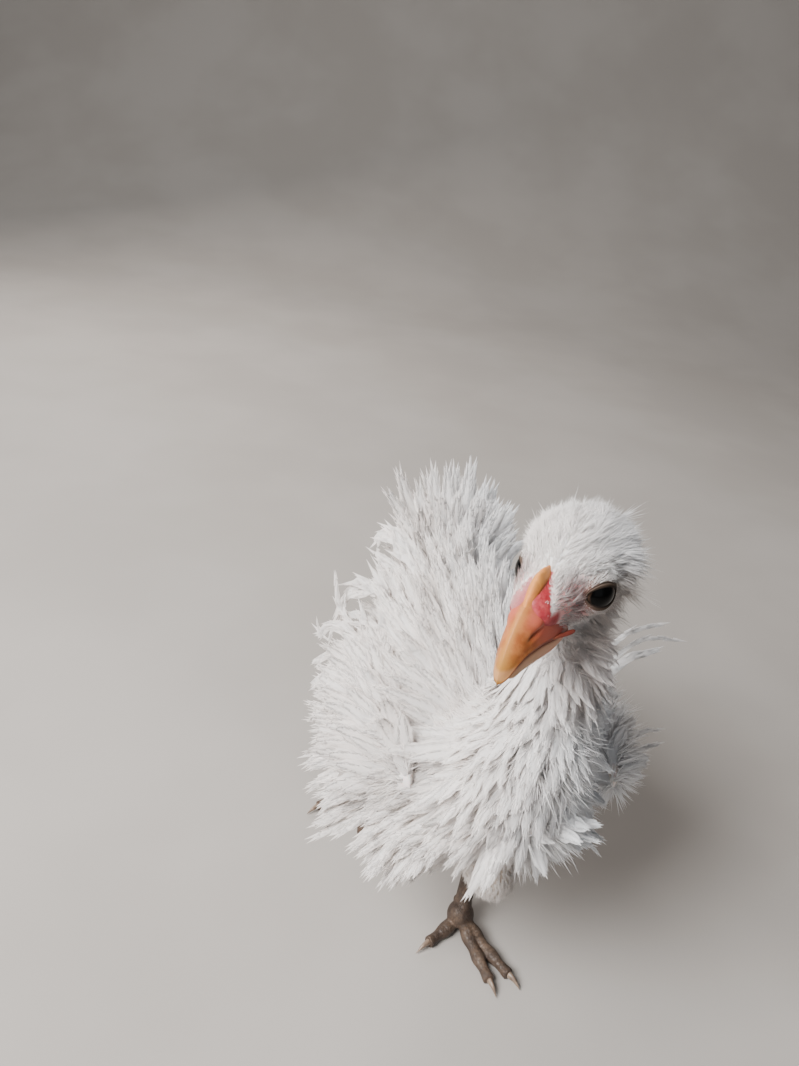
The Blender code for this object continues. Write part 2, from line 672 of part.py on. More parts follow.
def build_comb(cutters):
    """The comb's outline in the head's middle plane, as a thin curve, made a mesh."""
    share = np.linspace(0, 1, 2 * COMB_POINTS + 1)
    forward = COMB_START + (COMB_END - COMB_START) * share
    first, last = BILL_ROWS[0][0], BILL_ROWS[-1][0]
    bill = smooth_curve(BILL_ROWS, (forward - first) / (last - first))
    foot = bill[:, 1] + bill[:, 3] - 0.0012
    crest = foot + 0.0012 + COMB_HEIGHT * np.sin(math.pi * share) ** 0.6 * (
        0.8 + 0.2 * np.abs(np.cos(math.pi * COMB_POINTS * share))
    )
    outline = np.vstack([np.column_stack([forward, foot]), np.column_stack([forward, crest])[::-1]])
    curve = bpy.data.curves.new("comb", "CURVE")
    curve.dimensions = "2D"
    curve.fill_mode = "BOTH"
    curve.extrude = COMB_THICKNESS / 2
    spline = curve.splines.new("POLY")
    spline.points.add(len(outline) - 1)
    for point, place in zip(spline.points, outline):
        point.co = (*place, 0.0, 1.0)
    spline.use_cyclic_u = True
    sketch = bpy.data.objects.new("comb_sketch", curve)
    bpy.context.scene.collection.objects.link(sketch)
    graph = bpy.context.evaluated_depsgraph_get()
    mesh = bpy.data.meshes.new_from_object(sketch.evaluated_get(graph))
    bpy.data.objects.remove(sketch, do_unlink=True)
    work = bmesh.new()
    work.from_mesh(mesh)
    bmesh.ops.remove_doubles(work, verts=work.verts, dist=1e-6)
    forward_axis, left, up = head_axes()
    comb = placed(object_from_bmesh("comb", work), (forward_axis, up, -left), HEAD_CENTRE)
    return cut(comb, [head_form(GAP), upper_bill_form(GAP)], cutters)


def trunk_form(grow=0.0):
    return loft("trunk", TRUNK_ROWS, (0, 0, 1), 14, 18, (0.5, 0.5), grow)


def neck_form(grow=0.0):
    return loft("neck", NECK_ROWS, (0, 1, 0), 9, 14, (0.06, 0.06), grow)


def wing_form(side, grow=0.0):
    rows = [(side * row[0], *row[1:]) for row in WING_ROWS]
    return loft("wing", rows, (-side * WING_LEAN, 0, 1), 9, 10, (0.4, 0.5), grow)


def thigh_form(rows, grow=0.0):
    return loft("thigh", rows, (0, 1, 0), 8, 12, (0.3, 0.06), grow)


def tail_form():
    return loft("tail", TAIL_ROWS, (0, 0, 1), 6, 12, (0.3, 0.6))


def shank_form(hock, ball_at, grow=0.0):
    """Scaly shank: its front radius steps down at the lower edge of each scute."""
    axis = unit(ball_at - hock)
    front = unit(np.array((0, -1.0, 0)) + axis * axis[1])
    side = np.cross(axis, front)
    steps = np.arange(SHANK_SCUTES)
    share = np.append(np.stack([steps, steps + 0.82], 1).ravel() / SHANK_SCUTES, 1.0)
    lift = np.append(np.tile((0.0, SCUTE_LIFT), SHANK_SCUTES), 0.0)
    radius = SHANK_RADIUS * (1 + 0.30 * (2 * share - 1) ** 4) + grow
    angle = np.arange(8) * 2 * math.pi / 8
    plates = lift[:, None] * np.sqrt(np.clip(np.cos(angle), 0, 1))
    ahead = (radius[:, None] * 1.15 + plates) * np.cos(angle)
    across = (radius[:, None] + plates) * np.sin(angle)
    start = hock - axis * grow
    end = ball_at - axis * (0.0035 - grow)
    centre = start + (end - start) * share[:, None]
    rings = centre[:, None] + front * ahead[..., None] + side * across[..., None]
    return rings_to_mesh("shank", rings, start, end)


def toe_path(ball_at, heading, length):
    """Points along a toe that comes down from the ball to lie on the floor, and its heading."""
    turn = math.radians(heading)
    ahead = np.array((math.sin(turn), -math.cos(turn), 0.0))
    share = np.linspace(0, 1, 5)
    drop = (BALL_HEIGHT - TOE_AXIS_HEIGHT) * np.clip(share * 1.8, 0, 1) ** 0.8
    return ball_at + ahead * (share * length)[:, None] - np.array((0, 0, 1.0)) * drop[:, None], ahead


def toe_form(ball_at, toe):
    """One toe, its joints as swellings and its upper scutes as small steps."""
    name, heading, length = toe
    path, ahead = toe_path(ball_at, heading, length)
    steps = np.arange(TOE_SCUTES[name])
    share = np.append(np.stack([steps, steps + 0.75], 1).ravel() / len(steps), 1.0)
    lift = np.append(np.tile((0.0, SCUTE_LIFT * 0.8), len(steps)), 0.0)
    swell = 1 + 0.13 * np.cos(2 * math.pi * TOE_JOINTS[name] * share)
    radius = TOE_RADIUS * (1.12 - 0.40 * share) * swell
    angle = (np.arange(6) + 0.5) * 2 * math.pi / 6
    centre = smooth_curve(path, share)
    side = np.cross((0, 0, 1.0), ahead)
    across = radius[:, None] * np.cos(angle)
    high = (radius[:, None] * 0.92 + lift[:, None] * np.clip(np.sin(angle), 0, 1)) * np.sin(angle)
    rings = centre[:, None] + side * across[..., None] + np.array((0, 0, 1.0)) * high[..., None]
    return rings_to_mesh("toe", rings, centre[0], centre[-1])


def floor_box():
    """Everything below the floor, which leaves small flats under the toes."""
    work = bmesh.new()
    bmesh.ops.create_cube(work, size=1.0)
    bmesh.ops.scale(work, vec=(1.0, 1.0, 0.05), verts=work.verts)
    bmesh.ops.translate(work, vec=(0.0, 0.0, -0.025), verts=work.verts)
    return object_from_bmesh("below_floor", work)


def build_foot(hock, ball_at, toes, cutters):
    """The ball of the foot with its stem round the end of the shank, and its four toes."""
    axis = unit(ball_at - hock)
    top = ball_at - axis * STEM_HEIGHT
    rows = [(*(top + (ball_at - top) * t), *(STEM_RADIUS * (1 + 0.2 * t),) * 3) for t in (0, 0.5, 1)]
    pieces = [loft("stem", rows, (0, -1, 0), 4, 8, (0.05, 0.05))]
    pieces += [toe_form(ball_at, toe) for toe in toes]
    pad = ball("pad", ball_at, (0.0050, 0.0050, 0.0056), columns=8, rows=6)
    foot = join(pad, pieces, cutters)
    return cut(foot, [floor_box(), shank_form(hock, ball_at, GAP)], cutters)


def build_claw(ball_at, toe, cutters):
    """A claw that starts face to face with its toe's end and curves down to the floor."""
    path, ahead = toe_path(ball_at, toe[1], toe[2])
    share = np.linspace(0, 1, 6)[:-1]
    up = np.array((0, 0, 1.0))
    rise = CLAW_RADIUS * (0.25 * np.sin(math.pi * share) - 0.85 * share**2)
    start = path[-1] + ahead * GAP
    centre = start + ahead * (share * CLAW_LENGTH)[:, None] + up * rise[:, None]
    radius = CLAW_RADIUS * (1 - share**1.6 * 0.85)
    angle = np.arange(6) * 2 * math.pi / 6
    side = np.cross(up, ahead)
    across = side * (radius[:, None] * 0.8 * np.cos(angle))[..., None]
    rings = centre[:, None] + across + up * (radius[:, None] * np.sin(angle))[..., None]
    tip = start + ahead * CLAW_LENGTH - up * CLAW_RADIUS * 0.85
    return cut(rings_to_mesh("claw", rings, centre[0], tip), [floor_box()], cutters)


def build_all():
    clear_scene()
    parts = new_collection("frizzle_chicken")
    cutters = new_collection("cutters")
    root = bpy.data.objects.new("body_axes", None)
    root.location = BOX_SHIFT
    parts.objects.link(root)
    draw = np.random.default_rng(FEATHER_SEED)

    # Name: object, colour, roughness and the angle over which an edge stays sharp.
    nodes = {
        "head": (build_head(cutters), WHITE, 0.9, 40),
        "comb": (build_comb(cutters), COMB_RED, 0.5, 40),
        "beak_upper": (build_upper_bill(cutters), BILL_ORANGE, 0.35, 40),
        "beak_lower": (build_lower_bill(cutters), BILL_ORANGE, 0.35, 40),
        "eye_left": (eyeball(1), EYE_BLACK, 0.05, 40),
        "eye_right": (eyeball(-1), EYE_BLACK, 0.05, 40),
        "torso": (trunk_form(), WHITE, 0.9, 40),
        "neck": (cut(neck_form(), clear_of_head() + [trunk_form(GAP)], cutters), WHITE, 0.9, 40),
        "tail": (cut(tail_form(), [trunk_form(GAP)], cutters), WHITE, 0.9, 40),
    }
    for side, name in ((1, "left"), (-1, "right")):
        nodes[f"wing_{name}"] = (cut(wing_form(side), [trunk_form(GAP)], cutters), WHITE, 0.9, 40)
    legs = (
        ("left", LEFT_HOCK, LEFT_BALL, LEFT_TOES, LEFT_THIGH_ROWS),
        ("right", RIGHT_HOCK, RIGHT_BALL, RIGHT_TOES, RIGHT_THIGH_ROWS),
    )
    for name, hock, ball_at, toes, thigh_rows in legs:
        takers = [trunk_form(GAP), shank_form(hock, ball_at, GAP)]
        nodes[f"thigh_{name}"] = (cut(thigh_form(thigh_rows), takers, cutters), WHITE, 0.9, 40)
        nodes[f"shank_{name}"] = (shank_form(hock, ball_at), LEG_BROWN, 0.6, 25)
        nodes[f"foot_{name}"] = (build_foot(hock, ball_at, toes, cutters), LEG_BROWN, 0.6, 25)
        for toe in toes:
            nodes[f"claw_{name}_{toe[0]}"] = (build_claw(ball_at, toe, cutters), CLAW_HORN, 0.4, 40)

    feathered = {
        "wing_left": wing_sites(1, draw),
        "wing_right": wing_sites(-1, draw),
        "tail": tail_sites(draw),
        "thigh_left": thigh_sites(LEFT_THIGH_ROWS, draw),
        "thigh_right": thigh_sites(RIGHT_THIGH_ROWS, draw),
        "neck": neck_sites(draw),
        "torso": trunk_sites(draw),
    }
    trees = {name: tree_of(node[0]) for name, node in nodes.items()}
    for name, sites in feathered.items():
        obstacles = [tree for other, tree in trees.items() if other != name]
        trees[name] = tree_of(grow_feathers(nodes[name][0], sites, obstacles, cutters))
    for name, (obj, colour, roughness, sharp_angle) in nodes.items():
        add_node(obj, name, parts, root, colour, roughness, sharp_angle)


build_all()
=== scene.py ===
"""Looks of the frizzle chicken: skin, head, legs, plumage, and a plain studio.

Metres, +Z up. Shapes are worked out in body axes, whose origin is on the floor under the middle
of the trunk: the body faces -Y and the bird's own left is +X. SHIFT moves them to the frame's.
"""

import math

import bmesh
import bpy
import numpy as np
from mathutils import Matrix
from mathutils.kdtree import KDTree


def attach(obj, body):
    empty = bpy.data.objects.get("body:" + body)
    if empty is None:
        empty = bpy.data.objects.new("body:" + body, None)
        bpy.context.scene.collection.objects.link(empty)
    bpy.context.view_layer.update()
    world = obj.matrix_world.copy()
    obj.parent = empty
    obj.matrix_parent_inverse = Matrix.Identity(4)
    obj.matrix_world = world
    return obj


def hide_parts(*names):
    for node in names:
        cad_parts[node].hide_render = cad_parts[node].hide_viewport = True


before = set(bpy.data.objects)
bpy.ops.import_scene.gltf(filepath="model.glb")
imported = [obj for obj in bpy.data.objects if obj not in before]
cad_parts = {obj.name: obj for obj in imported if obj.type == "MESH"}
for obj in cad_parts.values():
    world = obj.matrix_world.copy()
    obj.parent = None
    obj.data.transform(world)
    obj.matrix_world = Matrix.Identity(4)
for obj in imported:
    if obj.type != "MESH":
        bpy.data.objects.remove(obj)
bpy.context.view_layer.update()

UP = np.array((0.0, 0.0, 1.0))
SEED = 11

# The body axes in the frame's axes, and the head's centre and axes, as in the solids.
SHIFT = np.array((-0.0047, -0.0141, 0.0))
HEAD_CENTRE = np.array((-0.005, -0.038, 0.173))
HEAD_YAW = math.radians(41.5)
HEAD_PITCH = math.radians(-7.7)
HEAD_ROLL = math.radians(-6.0)

# Flesh, station by station: x, y, z, half width, height above, depth below. The first four
# have the sizes of the solids' cores, and the skin lies SKIN_DEPTH inside them.
SKIN_DEPTH = 0.0022
TRUNK_ROWS = (
    (0.0, -0.047, 0.092, 0.027, 0.025, 0.027),
    (0.0, -0.022, 0.089, 0.032, 0.032, 0.034),
    (0.0, 0.002, 0.088, 0.033, 0.033, 0.035),
    (0.0, 0.027, 0.092, 0.029, 0.028, 0.032),
    (0.0, 0.054, 0.100, 0.018, 0.015, 0.019),
)
NECK_ROWS = (
    (0.000, -0.026, 0.100, 0.0200, 0.0180, 0.0190),
    (0.000, -0.034, 0.120, 0.0160, 0.0150, 0.0160),
    (0.002, -0.034, 0.140, 0.0115, 0.0115, 0.0115),
    (0.005, -0.029, 0.156, 0.0095, 0.0095, 0.0090),
    (0.004, -0.030, 0.168, 0.0085, 0.0085, 0.0080),
)
WING_ROWS = (
    (0.0310, -0.032, 0.096, 0.0050, 0.009, 0.009),
    (0.0355, -0.015, 0.095, 0.0065, 0.012, 0.012),
    (0.0365, 0.003, 0.094, 0.0065, 0.012, 0.013),
    (0.0340, 0.021, 0.093, 0.0060, 0.010, 0.011),
    (0.0290, 0.038, 0.092, 0.0040, 0.007, 0.007),
)
WING_LEAN = 0.35
TAIL_ROWS = (
    (0.0, 0.044, 0.098, 0.013, 0.010, 0.010),
    (0.0, 0.055, 0.104, 0.013, 0.009, 0.009),
    (0.0, 0.067, 0.112, 0.011, 0.006, 0.006),
)
LEFT_THIGH_ROWS = (
    (0.0240, -0.0140, 0.0740, 0.0130, 0.0140, 0.0140),
    (0.0215, -0.0050, 0.0640, 0.0115, 0.0125, 0.0125),
    (0.0165, 0.0055, 0.0535, 0.0080, 0.0085, 0.0085),
    (0.0120, 0.0130, 0.0440, 0.0050, 0.0052, 0.0052),
)
RIGHT_THIGH_ROWS = (
    (-0.0230, 0.0020, 0.0740, 0.0130, 0.0140, 0.0140),
    (-0.0232, 0.0170, 0.0650, 0.0115, 0.0125, 0.0125),
    (-0.0230, 0.0310, 0.0550, 0.0080, 0.0085, 0.0085),
    (-0.0225, 0.0420, 0.0460, 0.0050, 0.0052, 0.0052),
)
# The keel's lobe, bare of long feathers, the place it is seen at between the tufts of the lower
# breast, the two ways across that opening, and its half size each way.
KEEL_ROWS = (
    (-0.001, -0.043, 0.0640, 0.0085, 0.0100, 0.0100),
    (-0.001, -0.033, 0.0625, 0.0085, 0.0110, 0.0112),
    (-0.001, -0.023, 0.0620, 0.0085, 0.0110, 0.0112),
    (-0.001, -0.013, 0.0620, 0.0085, 0.0100, 0.0100),
)
KEEL_OPENING = np.array((-0.0009, -0.0320, 0.0615))
KEEL_WAYS = np.array(((0.98, -0.14, 0.12), (0.04, -0.50, -0.86)))
KEEL_HALF = np.array((0.0066, 0.0092))
# The furrow down the breast: its place across at a level, and its lean across for each metre down.
FURROW_SIDE = 0.002
FURROW_LEVEL = 0.094
FURROW_LEAN = 0.10
# The skull's skin, in head axes: forward, up, half width, height above, depth below.
HEAD_DEPTH = 0.0024
HEAD_ROWS = (
    (0.0200, 0.0000, 0.0068, 0.0072, 0.0048),
    (0.0078, 0.0004, 0.0102, 0.0096, 0.0123),
    (-0.0012, 0.0006, 0.0132, 0.0136, 0.0132),
    (-0.0102, 0.0000, 0.0148, 0.0144, 0.0141),
    (-0.0188, -0.0012, 0.0142, 0.0136, 0.0144),
    (-0.0272, -0.0028, 0.0122, 0.0110, 0.0127),
)
# Bill: forward, level of the mouth line, half width, height above it, depth below it.
BILL_ROWS = (
    (0.0080, -0.0078, 0.0058, 0.0156, 0.0032),
    (0.0140, -0.0064, 0.0056, 0.0138, 0.0050),
    (0.0200, -0.0052, 0.0044, 0.0090, 0.0056),
    (0.0260, -0.0056, 0.0030, 0.0056, 0.0046),
    (0.0318, -0.0094, 0.0012, 0.0028, 0.0022),
)
EYE_RADIUS = 0.0053
CORNEA_RISE = 0.045
EYE_PLACE = (0.0009, 0.0080, 0.0001)
EYE_OUT = (0.46, 0.87, 0.14)
RIGHT_EYE_IN = 0.0021
# Where the pupil looks, in the eye's ahead, up and out, and the angle off it of the iris's edge.
EYE_GAZE = (0.14, 0.05, 1.0)
EYE_RIM = 1.07
# The lids' opening: half width, half height, and its turn from the way ahead.
LID_OPENING = (0.0041, 0.0023)
LID_TURN = math.radians(16)
LID_END = 1.25
# The lids' folds, as the turn of their waves in radians, their rings from the opening outwards,
# the places round each, the rings of their inner side, and those that bear fine hairs.
LID_FOLDS = 44
LID_RINGS = 40
LID_SIDES = 64
LID_INNER_RINGS = 12
LID_HAIRY = (13, 38)
# The skin's swelling round an eye: its height where the lids end, and how it falls away.
ORBIT_EDGE = 0.0050
ORBIT_HEIGHT = 0.00285
ORBIT_FALL = 0.55
ORBIT_REACH = 0.013

# Legs: hock and ball of each foot, then its toes by heading in degrees, from straight ahead
# towards the bird's left, and length without claw.
BALL_HEIGHT = 0.0052
LEFT_BALL = np.array((0.0035, -0.0090, BALL_HEIGHT))
LEFT_HOCK = np.array((0.0120, 0.0130, 0.0440))
RIGHT_BALL = np.array((-0.0270, 0.0580, BALL_HEIGHT))
RIGHT_HOCK = np.array((-0.0225, 0.0420, 0.0460))
LEFT_TOES = {
    "inner": (-57.0, 0.0155), "middle": (14.0, 0.0245), "outer": (31.0, 0.0260), "hind": (168.0, 0.0095),
}
RIGHT_TOES = {
    "inner": (36.0, 0.0185), "middle": (-4.0, 0.0260), "outer": (-58.0, 0.0220), "hind": (172.0, 0.0095),
}
TOE_JOINTS = {"inner": 2, "middle": 3, "outer": 3, "hind": 1}
TOE_RADIUS = 0.0026
TOE_AXIS_HEIGHT = 0.0019
TOE_PLATE = 0.0026
SHANK_RADIUS = 0.0029
SHANK_PLATES = 13
SHANK_PLATE_RISE = 0.00040
BALL_PAD_RADIUS = 0.0050
BALL_PAD_HEIGHTS = (0.0054, 0.0018, -0.0018, -0.0054)
CLAW_LENGTH = 0.0056
CLAW_RADIUS = 0.0014


# Shape functions

def unit(v):
    """Vectors of length 1 in the same directions."""
    v = np.asarray(v, float)
    return v / np.maximum(np.linalg.norm(v, axis=-1, keepdims=True), 1e-12)


def clamp(values):
    """Values cut to the range from 0 to 1."""
    return np.clip(values, 0, 1)


def turns(count):
    """Angles of places equally spaced round a ring."""
    return np.arange(count) * 2 * math.pi / count


def smooth_curve(keys, where):
    """Catmull-Rom curve through equally spaced keys, read at shares 0 to 1 of its run."""
    keys = np.asarray(keys, float)
    padded = np.vstack([2 * keys[0] - keys[1], keys, 2 * keys[-1] - keys[-2]])
    place = clamp(np.asarray(where, float)) * (len(keys) - 1)
    left = np.minimum(place.astype(int), len(keys) - 2)
    t = (place - left)[:, None]
    a, b, c, d = (padded[left + k] for k in range(4))
    bend = (2 * a - 5 * b + 4 * c - d) * t + (3 * b - a - 3 * c + d) * t**2
    return b + 0.5 * t * ((c - a) + bend)


def path_direction(rows, run):
    """The way that a path runs at given shares of it."""
    step = 0.002
    return unit(smooth_curve(rows, run + step)[:, :3] - smooth_curve(rows, run - step)[:, :3])


def head_axes():
    """Forward, left and up of the head, in body axes."""
    sy, cy = math.sin(HEAD_YAW), math.cos(HEAD_YAW)
    sp, cp = math.sin(HEAD_PITCH), math.cos(HEAD_PITCH)
    forward = np.array((-sy * cp, -cy * cp, sp))
    level_left = np.array((cy, -sy, 0.0))
    level_up = np.cross(forward, level_left)
    left = level_left * math.cos(HEAD_ROLL) - level_up * math.sin(HEAD_ROLL)
    return np.stack([forward, left, np.cross(forward, left)])


HEAD = head_axes()


def on_head(places):
    """Points given as forward, left, up of the head, in body axes."""
    return HEAD_CENTRE + np.asarray(places, float) @ HEAD


def to_head(points):
    """Forward, left and up of points given in body axes."""
    return (np.asarray(points) - HEAD_CENTRE) @ HEAD.T


def head_rows(rows):
    """Stations given as forward, up and sizes in head axes, ready for a form."""
    return [(*on_head((row[0], 0.0, row[1])), *row[2:]) for row in rows]


class Form:
    """A closed form round a path: at each share of the run a section of two half ellipses.

    The section stands square to the path with dorsal towards its upper side. A point at run r
    and angle a is centre + side * width * cos a + up * height * sin a. The first and last
    shares of the run round off to points, each as a quarter ellipse.
    """

    def __init__(self, rows, dorsal, ends, depth=0.0):
        self.rows = np.array(rows, float)
        self.rows[:, 3:] -= depth
        self.dorsal = np.asarray(dorsal, float)
        self.ends = ends

    def axes(self, run):
        along = path_direction(self.rows, run)
        side = unit(np.cross(along, self.dorsal))
        return along, side, np.cross(side, along)

    def points(self, run, angle):
        """Points for an array of runs (rings) and of angles (round each ring)."""
        keyed = smooth_curve(self.rows, run)
        _, side, up = self.axes(run)
        near = 1 - clamp(run / self.ends[0])
        far = 1 - clamp((1 - run) / self.ends[1])
        sizes = keyed[:, 3:] * np.sqrt((1 - near**2) * (1 - far**2))[:, None]
        across = sizes[:, :1] * np.cos(angle)
        high = np.where(np.sin(angle) >= 0, sizes[:, 1:2], sizes[:, 2:3]) * np.sin(angle)
        return hoops(keyed[:, :3], side[:, None], up[:, None], across, high)

    def mesh(self, rings=40, sides=40):
        run = (1 - np.cos(math.pi * (np.arange(rings) + 0.5) / rings)) / 2
        angle = -np.arange(sides) * 2 * math.pi / sides
        poles = smooth_curve(self.rows, (0.0, 1.0))[:, :3]
        return tube(self.points(run, angle), poles[0], poles[1])

    def place(self, run, angle):
        """One point on the form at a run and an angle, with its outward normal."""
        step = 0.004
        p = self.points(np.array((run, run + step)), angle + np.array((0.0, step)))
        out = unit(np.cross(p[1, 0] - p[0, 0], p[0, 1] - p[0, 0]))
        centre = smooth_curve(self.rows, np.array((run,)))[0, :3]
        return p[0, 0], out if out @ (p[0, 0] - centre) > 0 else -out

    def nearest(self, points):
        """How far points lie outside the form, roughly, and their run and angle on it."""
        run = np.linspace(0.0, 1.0, 60)
        keyed = smooth_curve(self.rows, run)
        apart = points[:, None] - keyed[None, :, :3]
        gap = np.linalg.norm(apart, axis=2) - keyed[None, :, 3:].mean(2)
        best = gap.argmin(1)
        _, side, up = self.axes(run)
        offset = points - keyed[best, :3]
        angle = np.arctan2((offset * up[best]).sum(1), (offset * side[best]).sum(1))
        return gap.min(1), run[best], angle


def tube(rings, first, last):
    """Points and triangles of a closed skin over rings that turn anticlockwise round their path."""
    count, sides = rings.shape[:2]
    i, j = np.meshgrid(np.arange(count - 1), np.arange(sides), indexing="ij")
    a, b = i * sides + j, i * sides + (j + 1) % sides
    j = np.arange(sides)
    k = (j + 1) % sides
    top = (count - 1) * sides
    faces = np.concatenate([
        np.stack([a, b, b + sides], -1).reshape(-1, 3),
        np.stack([a, b + sides, a + sides], -1).reshape(-1, 3),
        np.stack([k, j, np.full(sides, count * sides)], -1),
        np.stack([top + j, top + k, np.full(sides, count * sides + 1)], -1),
    ])
    return np.vstack([rings.reshape(-1, 3), [first], [last]]), faces


def hoops(centre, side, up, across, high):
    """Rings round a path: centre + side * across + up * high, by ring and by place round it."""
    return centre[:, None] + side * across[..., None] + up * high[..., None]


def joined(pieces):
    """Several sets of points and triangles as one."""
    starts = np.cumsum([0] + [len(p) for p, _ in pieces[:-1]])
    return np.vstack([p for p, _ in pieces]), np.vstack([f + s for (_, f), s in zip(pieces, starts)])


def mesh_of(name, points, faces):
    """Puts arrays of points and of equal-sided faces into a mesh, moved by SHIFT."""
    mesh = bpy.data.meshes.new(name)
    faces = np.ascontiguousarray(faces, dtype=np.int32)
    mesh.vertices.add(len(points))
    mesh.vertices.foreach_set("co", (points + SHIFT).astype(np.float32).ravel())
    mesh.loops.add(faces.size)
    mesh.loops.foreach_set("vertex_index", faces.ravel())
    mesh.polygons.add(len(faces))
    mesh.polygons.foreach_set("loop_start", np.arange(len(faces), dtype=np.int32) * faces.shape[1])
    mesh.update(calc_edges=True)
    return mesh


def add_piece(name, mesh, material, nodes=(), smooth=True):
    """Shows a finished mesh as a piece that rides on the body and stands for CAD nodes."""
    piece = bpy.data.objects.new(name, mesh)
    bpy.context.scene.collection.objects.link(piece)
    mesh.materials.append(material)
    mesh.polygons.foreach_set("use_smooth", np.zeros(len(mesh.polygons), bool) | smooth)
    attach(piece, "root")
    if nodes:
        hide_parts(*nodes)
    return piece


def paint(mesh, label, values):
    """Gives a mesh one value for each point, which its material reads."""
    values = np.asarray(values, np.float32).ravel()
    mesh.attributes.new(label, "FLOAT", "POINT").data.foreach_set("value", values)


def outwards(mesh):
    """Turns the faces of a closed mesh outwards."""
    work = bmesh.new()
    work.from_mesh(mesh)
    bmesh.ops.remove_doubles(work, verts=work.verts, dist=1e-7)
    bmesh.ops.recalc_face_normals(work, faces=work.faces)
    work.to_mesh(mesh)
    work.free()


def add_shell(name, points, faces, material, slot, nodes=(), **values):
    """A closed piece with its faces turned outwards, and the values that its material reads."""
    mesh = mesh_of(name, points, faces)
    for label, value in values.items():
        paint(mesh, label, value)
    outwards(mesh)
    add_piece(name, mesh, material, nodes)


def fused(points, faces, voxel, passes):
    """One closed quad skin round overlapping closed meshes, by voxels, then smoothed.

    Each smoothing pass moves every point half way to the mean of its neighbours, and the next
    one moves it a little further back, so that the form keeps its size.
    """
    mesh = mesh_of("fused", points - SHIFT, faces)
    rough = bpy.data.objects.new("fused", mesh)
    bpy.context.scene.collection.objects.link(rough)
    step = rough.modifiers.new("voxels", "REMESH")
    step.mode = "VOXEL"
    step.voxel_size = voxel
    graph = bpy.context.evaluated_depsgraph_get()
    made = bpy.data.meshes.new_from_object(rough.evaluated_get(graph))
    bpy.data.objects.remove(rough, do_unlink=True)
    co = np.zeros(len(made.vertices) * 3, np.float32)
    made.vertices.foreach_get("co", co)
    co = co.reshape(-1, 3).astype(float)
    edges = np.zeros(len(made.edges) * 2, np.int32)
    made.edges.foreach_get("vertices", edges)
    ends = edges.reshape(-1, 2)
    quads = np.zeros(len(made.loops), np.int32)
    made.loops.foreach_get("vertex_index", quads)
    quads = quads.reshape(-1, 4)
    start, end = np.r_[ends[:, 0], ends[:, 1]], np.r_[ends[:, 1], ends[:, 0]]
    degree = np.bincount(start, minlength=len(co))[:, None]
    for amount in (0.5, -0.52) * passes:
        mean = np.stack([np.bincount(start, co[end, k], len(co)) for k in range(3)], 1) / degree
        co += amount * (mean - co)
    bpy.data.meshes.remove(made)
    return co, quads


def normals_of(points, quads):
    """Outward normal at each point, from the areas of the faces round it."""
    a, b, c, d = (points[quads[:, k]] for k in range(4))
    face = np.cross(c - a, d - b)
    shares = [np.bincount(quads.ravel(), np.repeat(face[:, k], 4), len(points)) for k in range(3)]
    return unit(np.stack(shares, 1))


def drift(points, wave, draw):
    """A smooth random field, about -1 to 1: the mean of six sine waves in random directions."""
    ways = unit(draw.normal(0, 1, (6, 3))) * (2 * math.pi / wave)
    return np.sin(points @ ways.T + draw.uniform(0, 2 * math.pi, 6)).mean(1) * 2.2


def spread(skin, wanted, spacing, draw):
    """Random places on the wanted faces of the skin, none within the spacing of another.

    Each place is a random point of a face's square. Its normal and its values come from the
    face's corners in the same shares.
    """
    points, normals, quads = skin
    quads = quads[wanted[quads].all(1)]
    tries = max(1, round(5 * SKIN_VOXEL**2 / spacing**2))
    quads = quads[draw.permutation(len(quads) * tries) % len(quads)]
    u, v = draw.random((2, len(quads), 1))
    shares = np.stack([(1 - u) * (1 - v), u * (1 - v), u * v, (1 - u) * v], 1)
    places = (points[quads] * shares).sum(1)
    picked = thinned(places, spacing)
    return places[picked], unit((normals[quads[picked]] * shares[picked]).sum(1))


def tree_of(places):
    """A search tree over places."""
    tree = KDTree(len(places))
    for i, place in enumerate(places):
        tree.insert(place, i)
    tree.balance()
    return tree


def thinned(places, spacing):
    """Takes places in their order, and leaves out any within the spacing of one taken before."""
    tree = tree_of(places)
    free = np.ones(len(places), bool)
    picked = []
    for i, place in enumerate(places):
        if free[i]:
            picked.append(i)
            free[[found[1] for found in tree.find_range(place, spacing)]] = False
    return picked


def along_skin(lie, out):
    """The part of each lie that is square to its outward normal, as a unit vector."""
    return unit(lie - out * (lie * out).sum(1)[:, None])


# Feathers

# Spread of a vane along its length as a share of its width.
VANE_AT = (0.0, 0.12, 0.40, 0.68, 0.88, 1.0)
VANE_SPREAD = (0.45, 0.90, 1.00, 0.76, 0.46, 0.14)
FINGER_SPREAD = (0.60, 0.92, 1.00, 0.90, 0.72, 0.40)
VANE_THICKNESS = 0.00018
# How far the vane's edges run ahead of the shaft and bend back from its face, per half width.
SWEEP = 0.50
CAMBER = 0.14
# Places round a section of the vane: across it from edge to edge, and above or below.
AROUND = np.array((-1.0, -0.5, 0.0, 0.5, 1.0, 0.5, 0.0, -0.5))
ABOVE = np.array((0.0, 0.5, 0.8, 0.5, 0.0, -0.5, -0.5, -0.5))
# Angle of the locks of barbs off the shaft at the foot of a feather, in degrees, and that of the
# long curls.
BARB_ANGLE = 17.0
CURL_BARB_ANGLE = 8.0
# Triangles of a spike of four points, the last of them its tip.
SPIKE = np.array([(3, 2, 0), (3, 1, 2), (3, 0, 1), (2, 1, 0)])
# How deep feathers root in the skin, and the width of a feather's patch on the OFBake map.
ROOT_DEPTH = 0.0006
PATCH = 0.003


def stations(steps):
    """Shares of a feather's length where its sections stand, closer together at its tip."""
    return 1 - (1 - np.linspace(0, 1, steps + 1)) ** 1.5


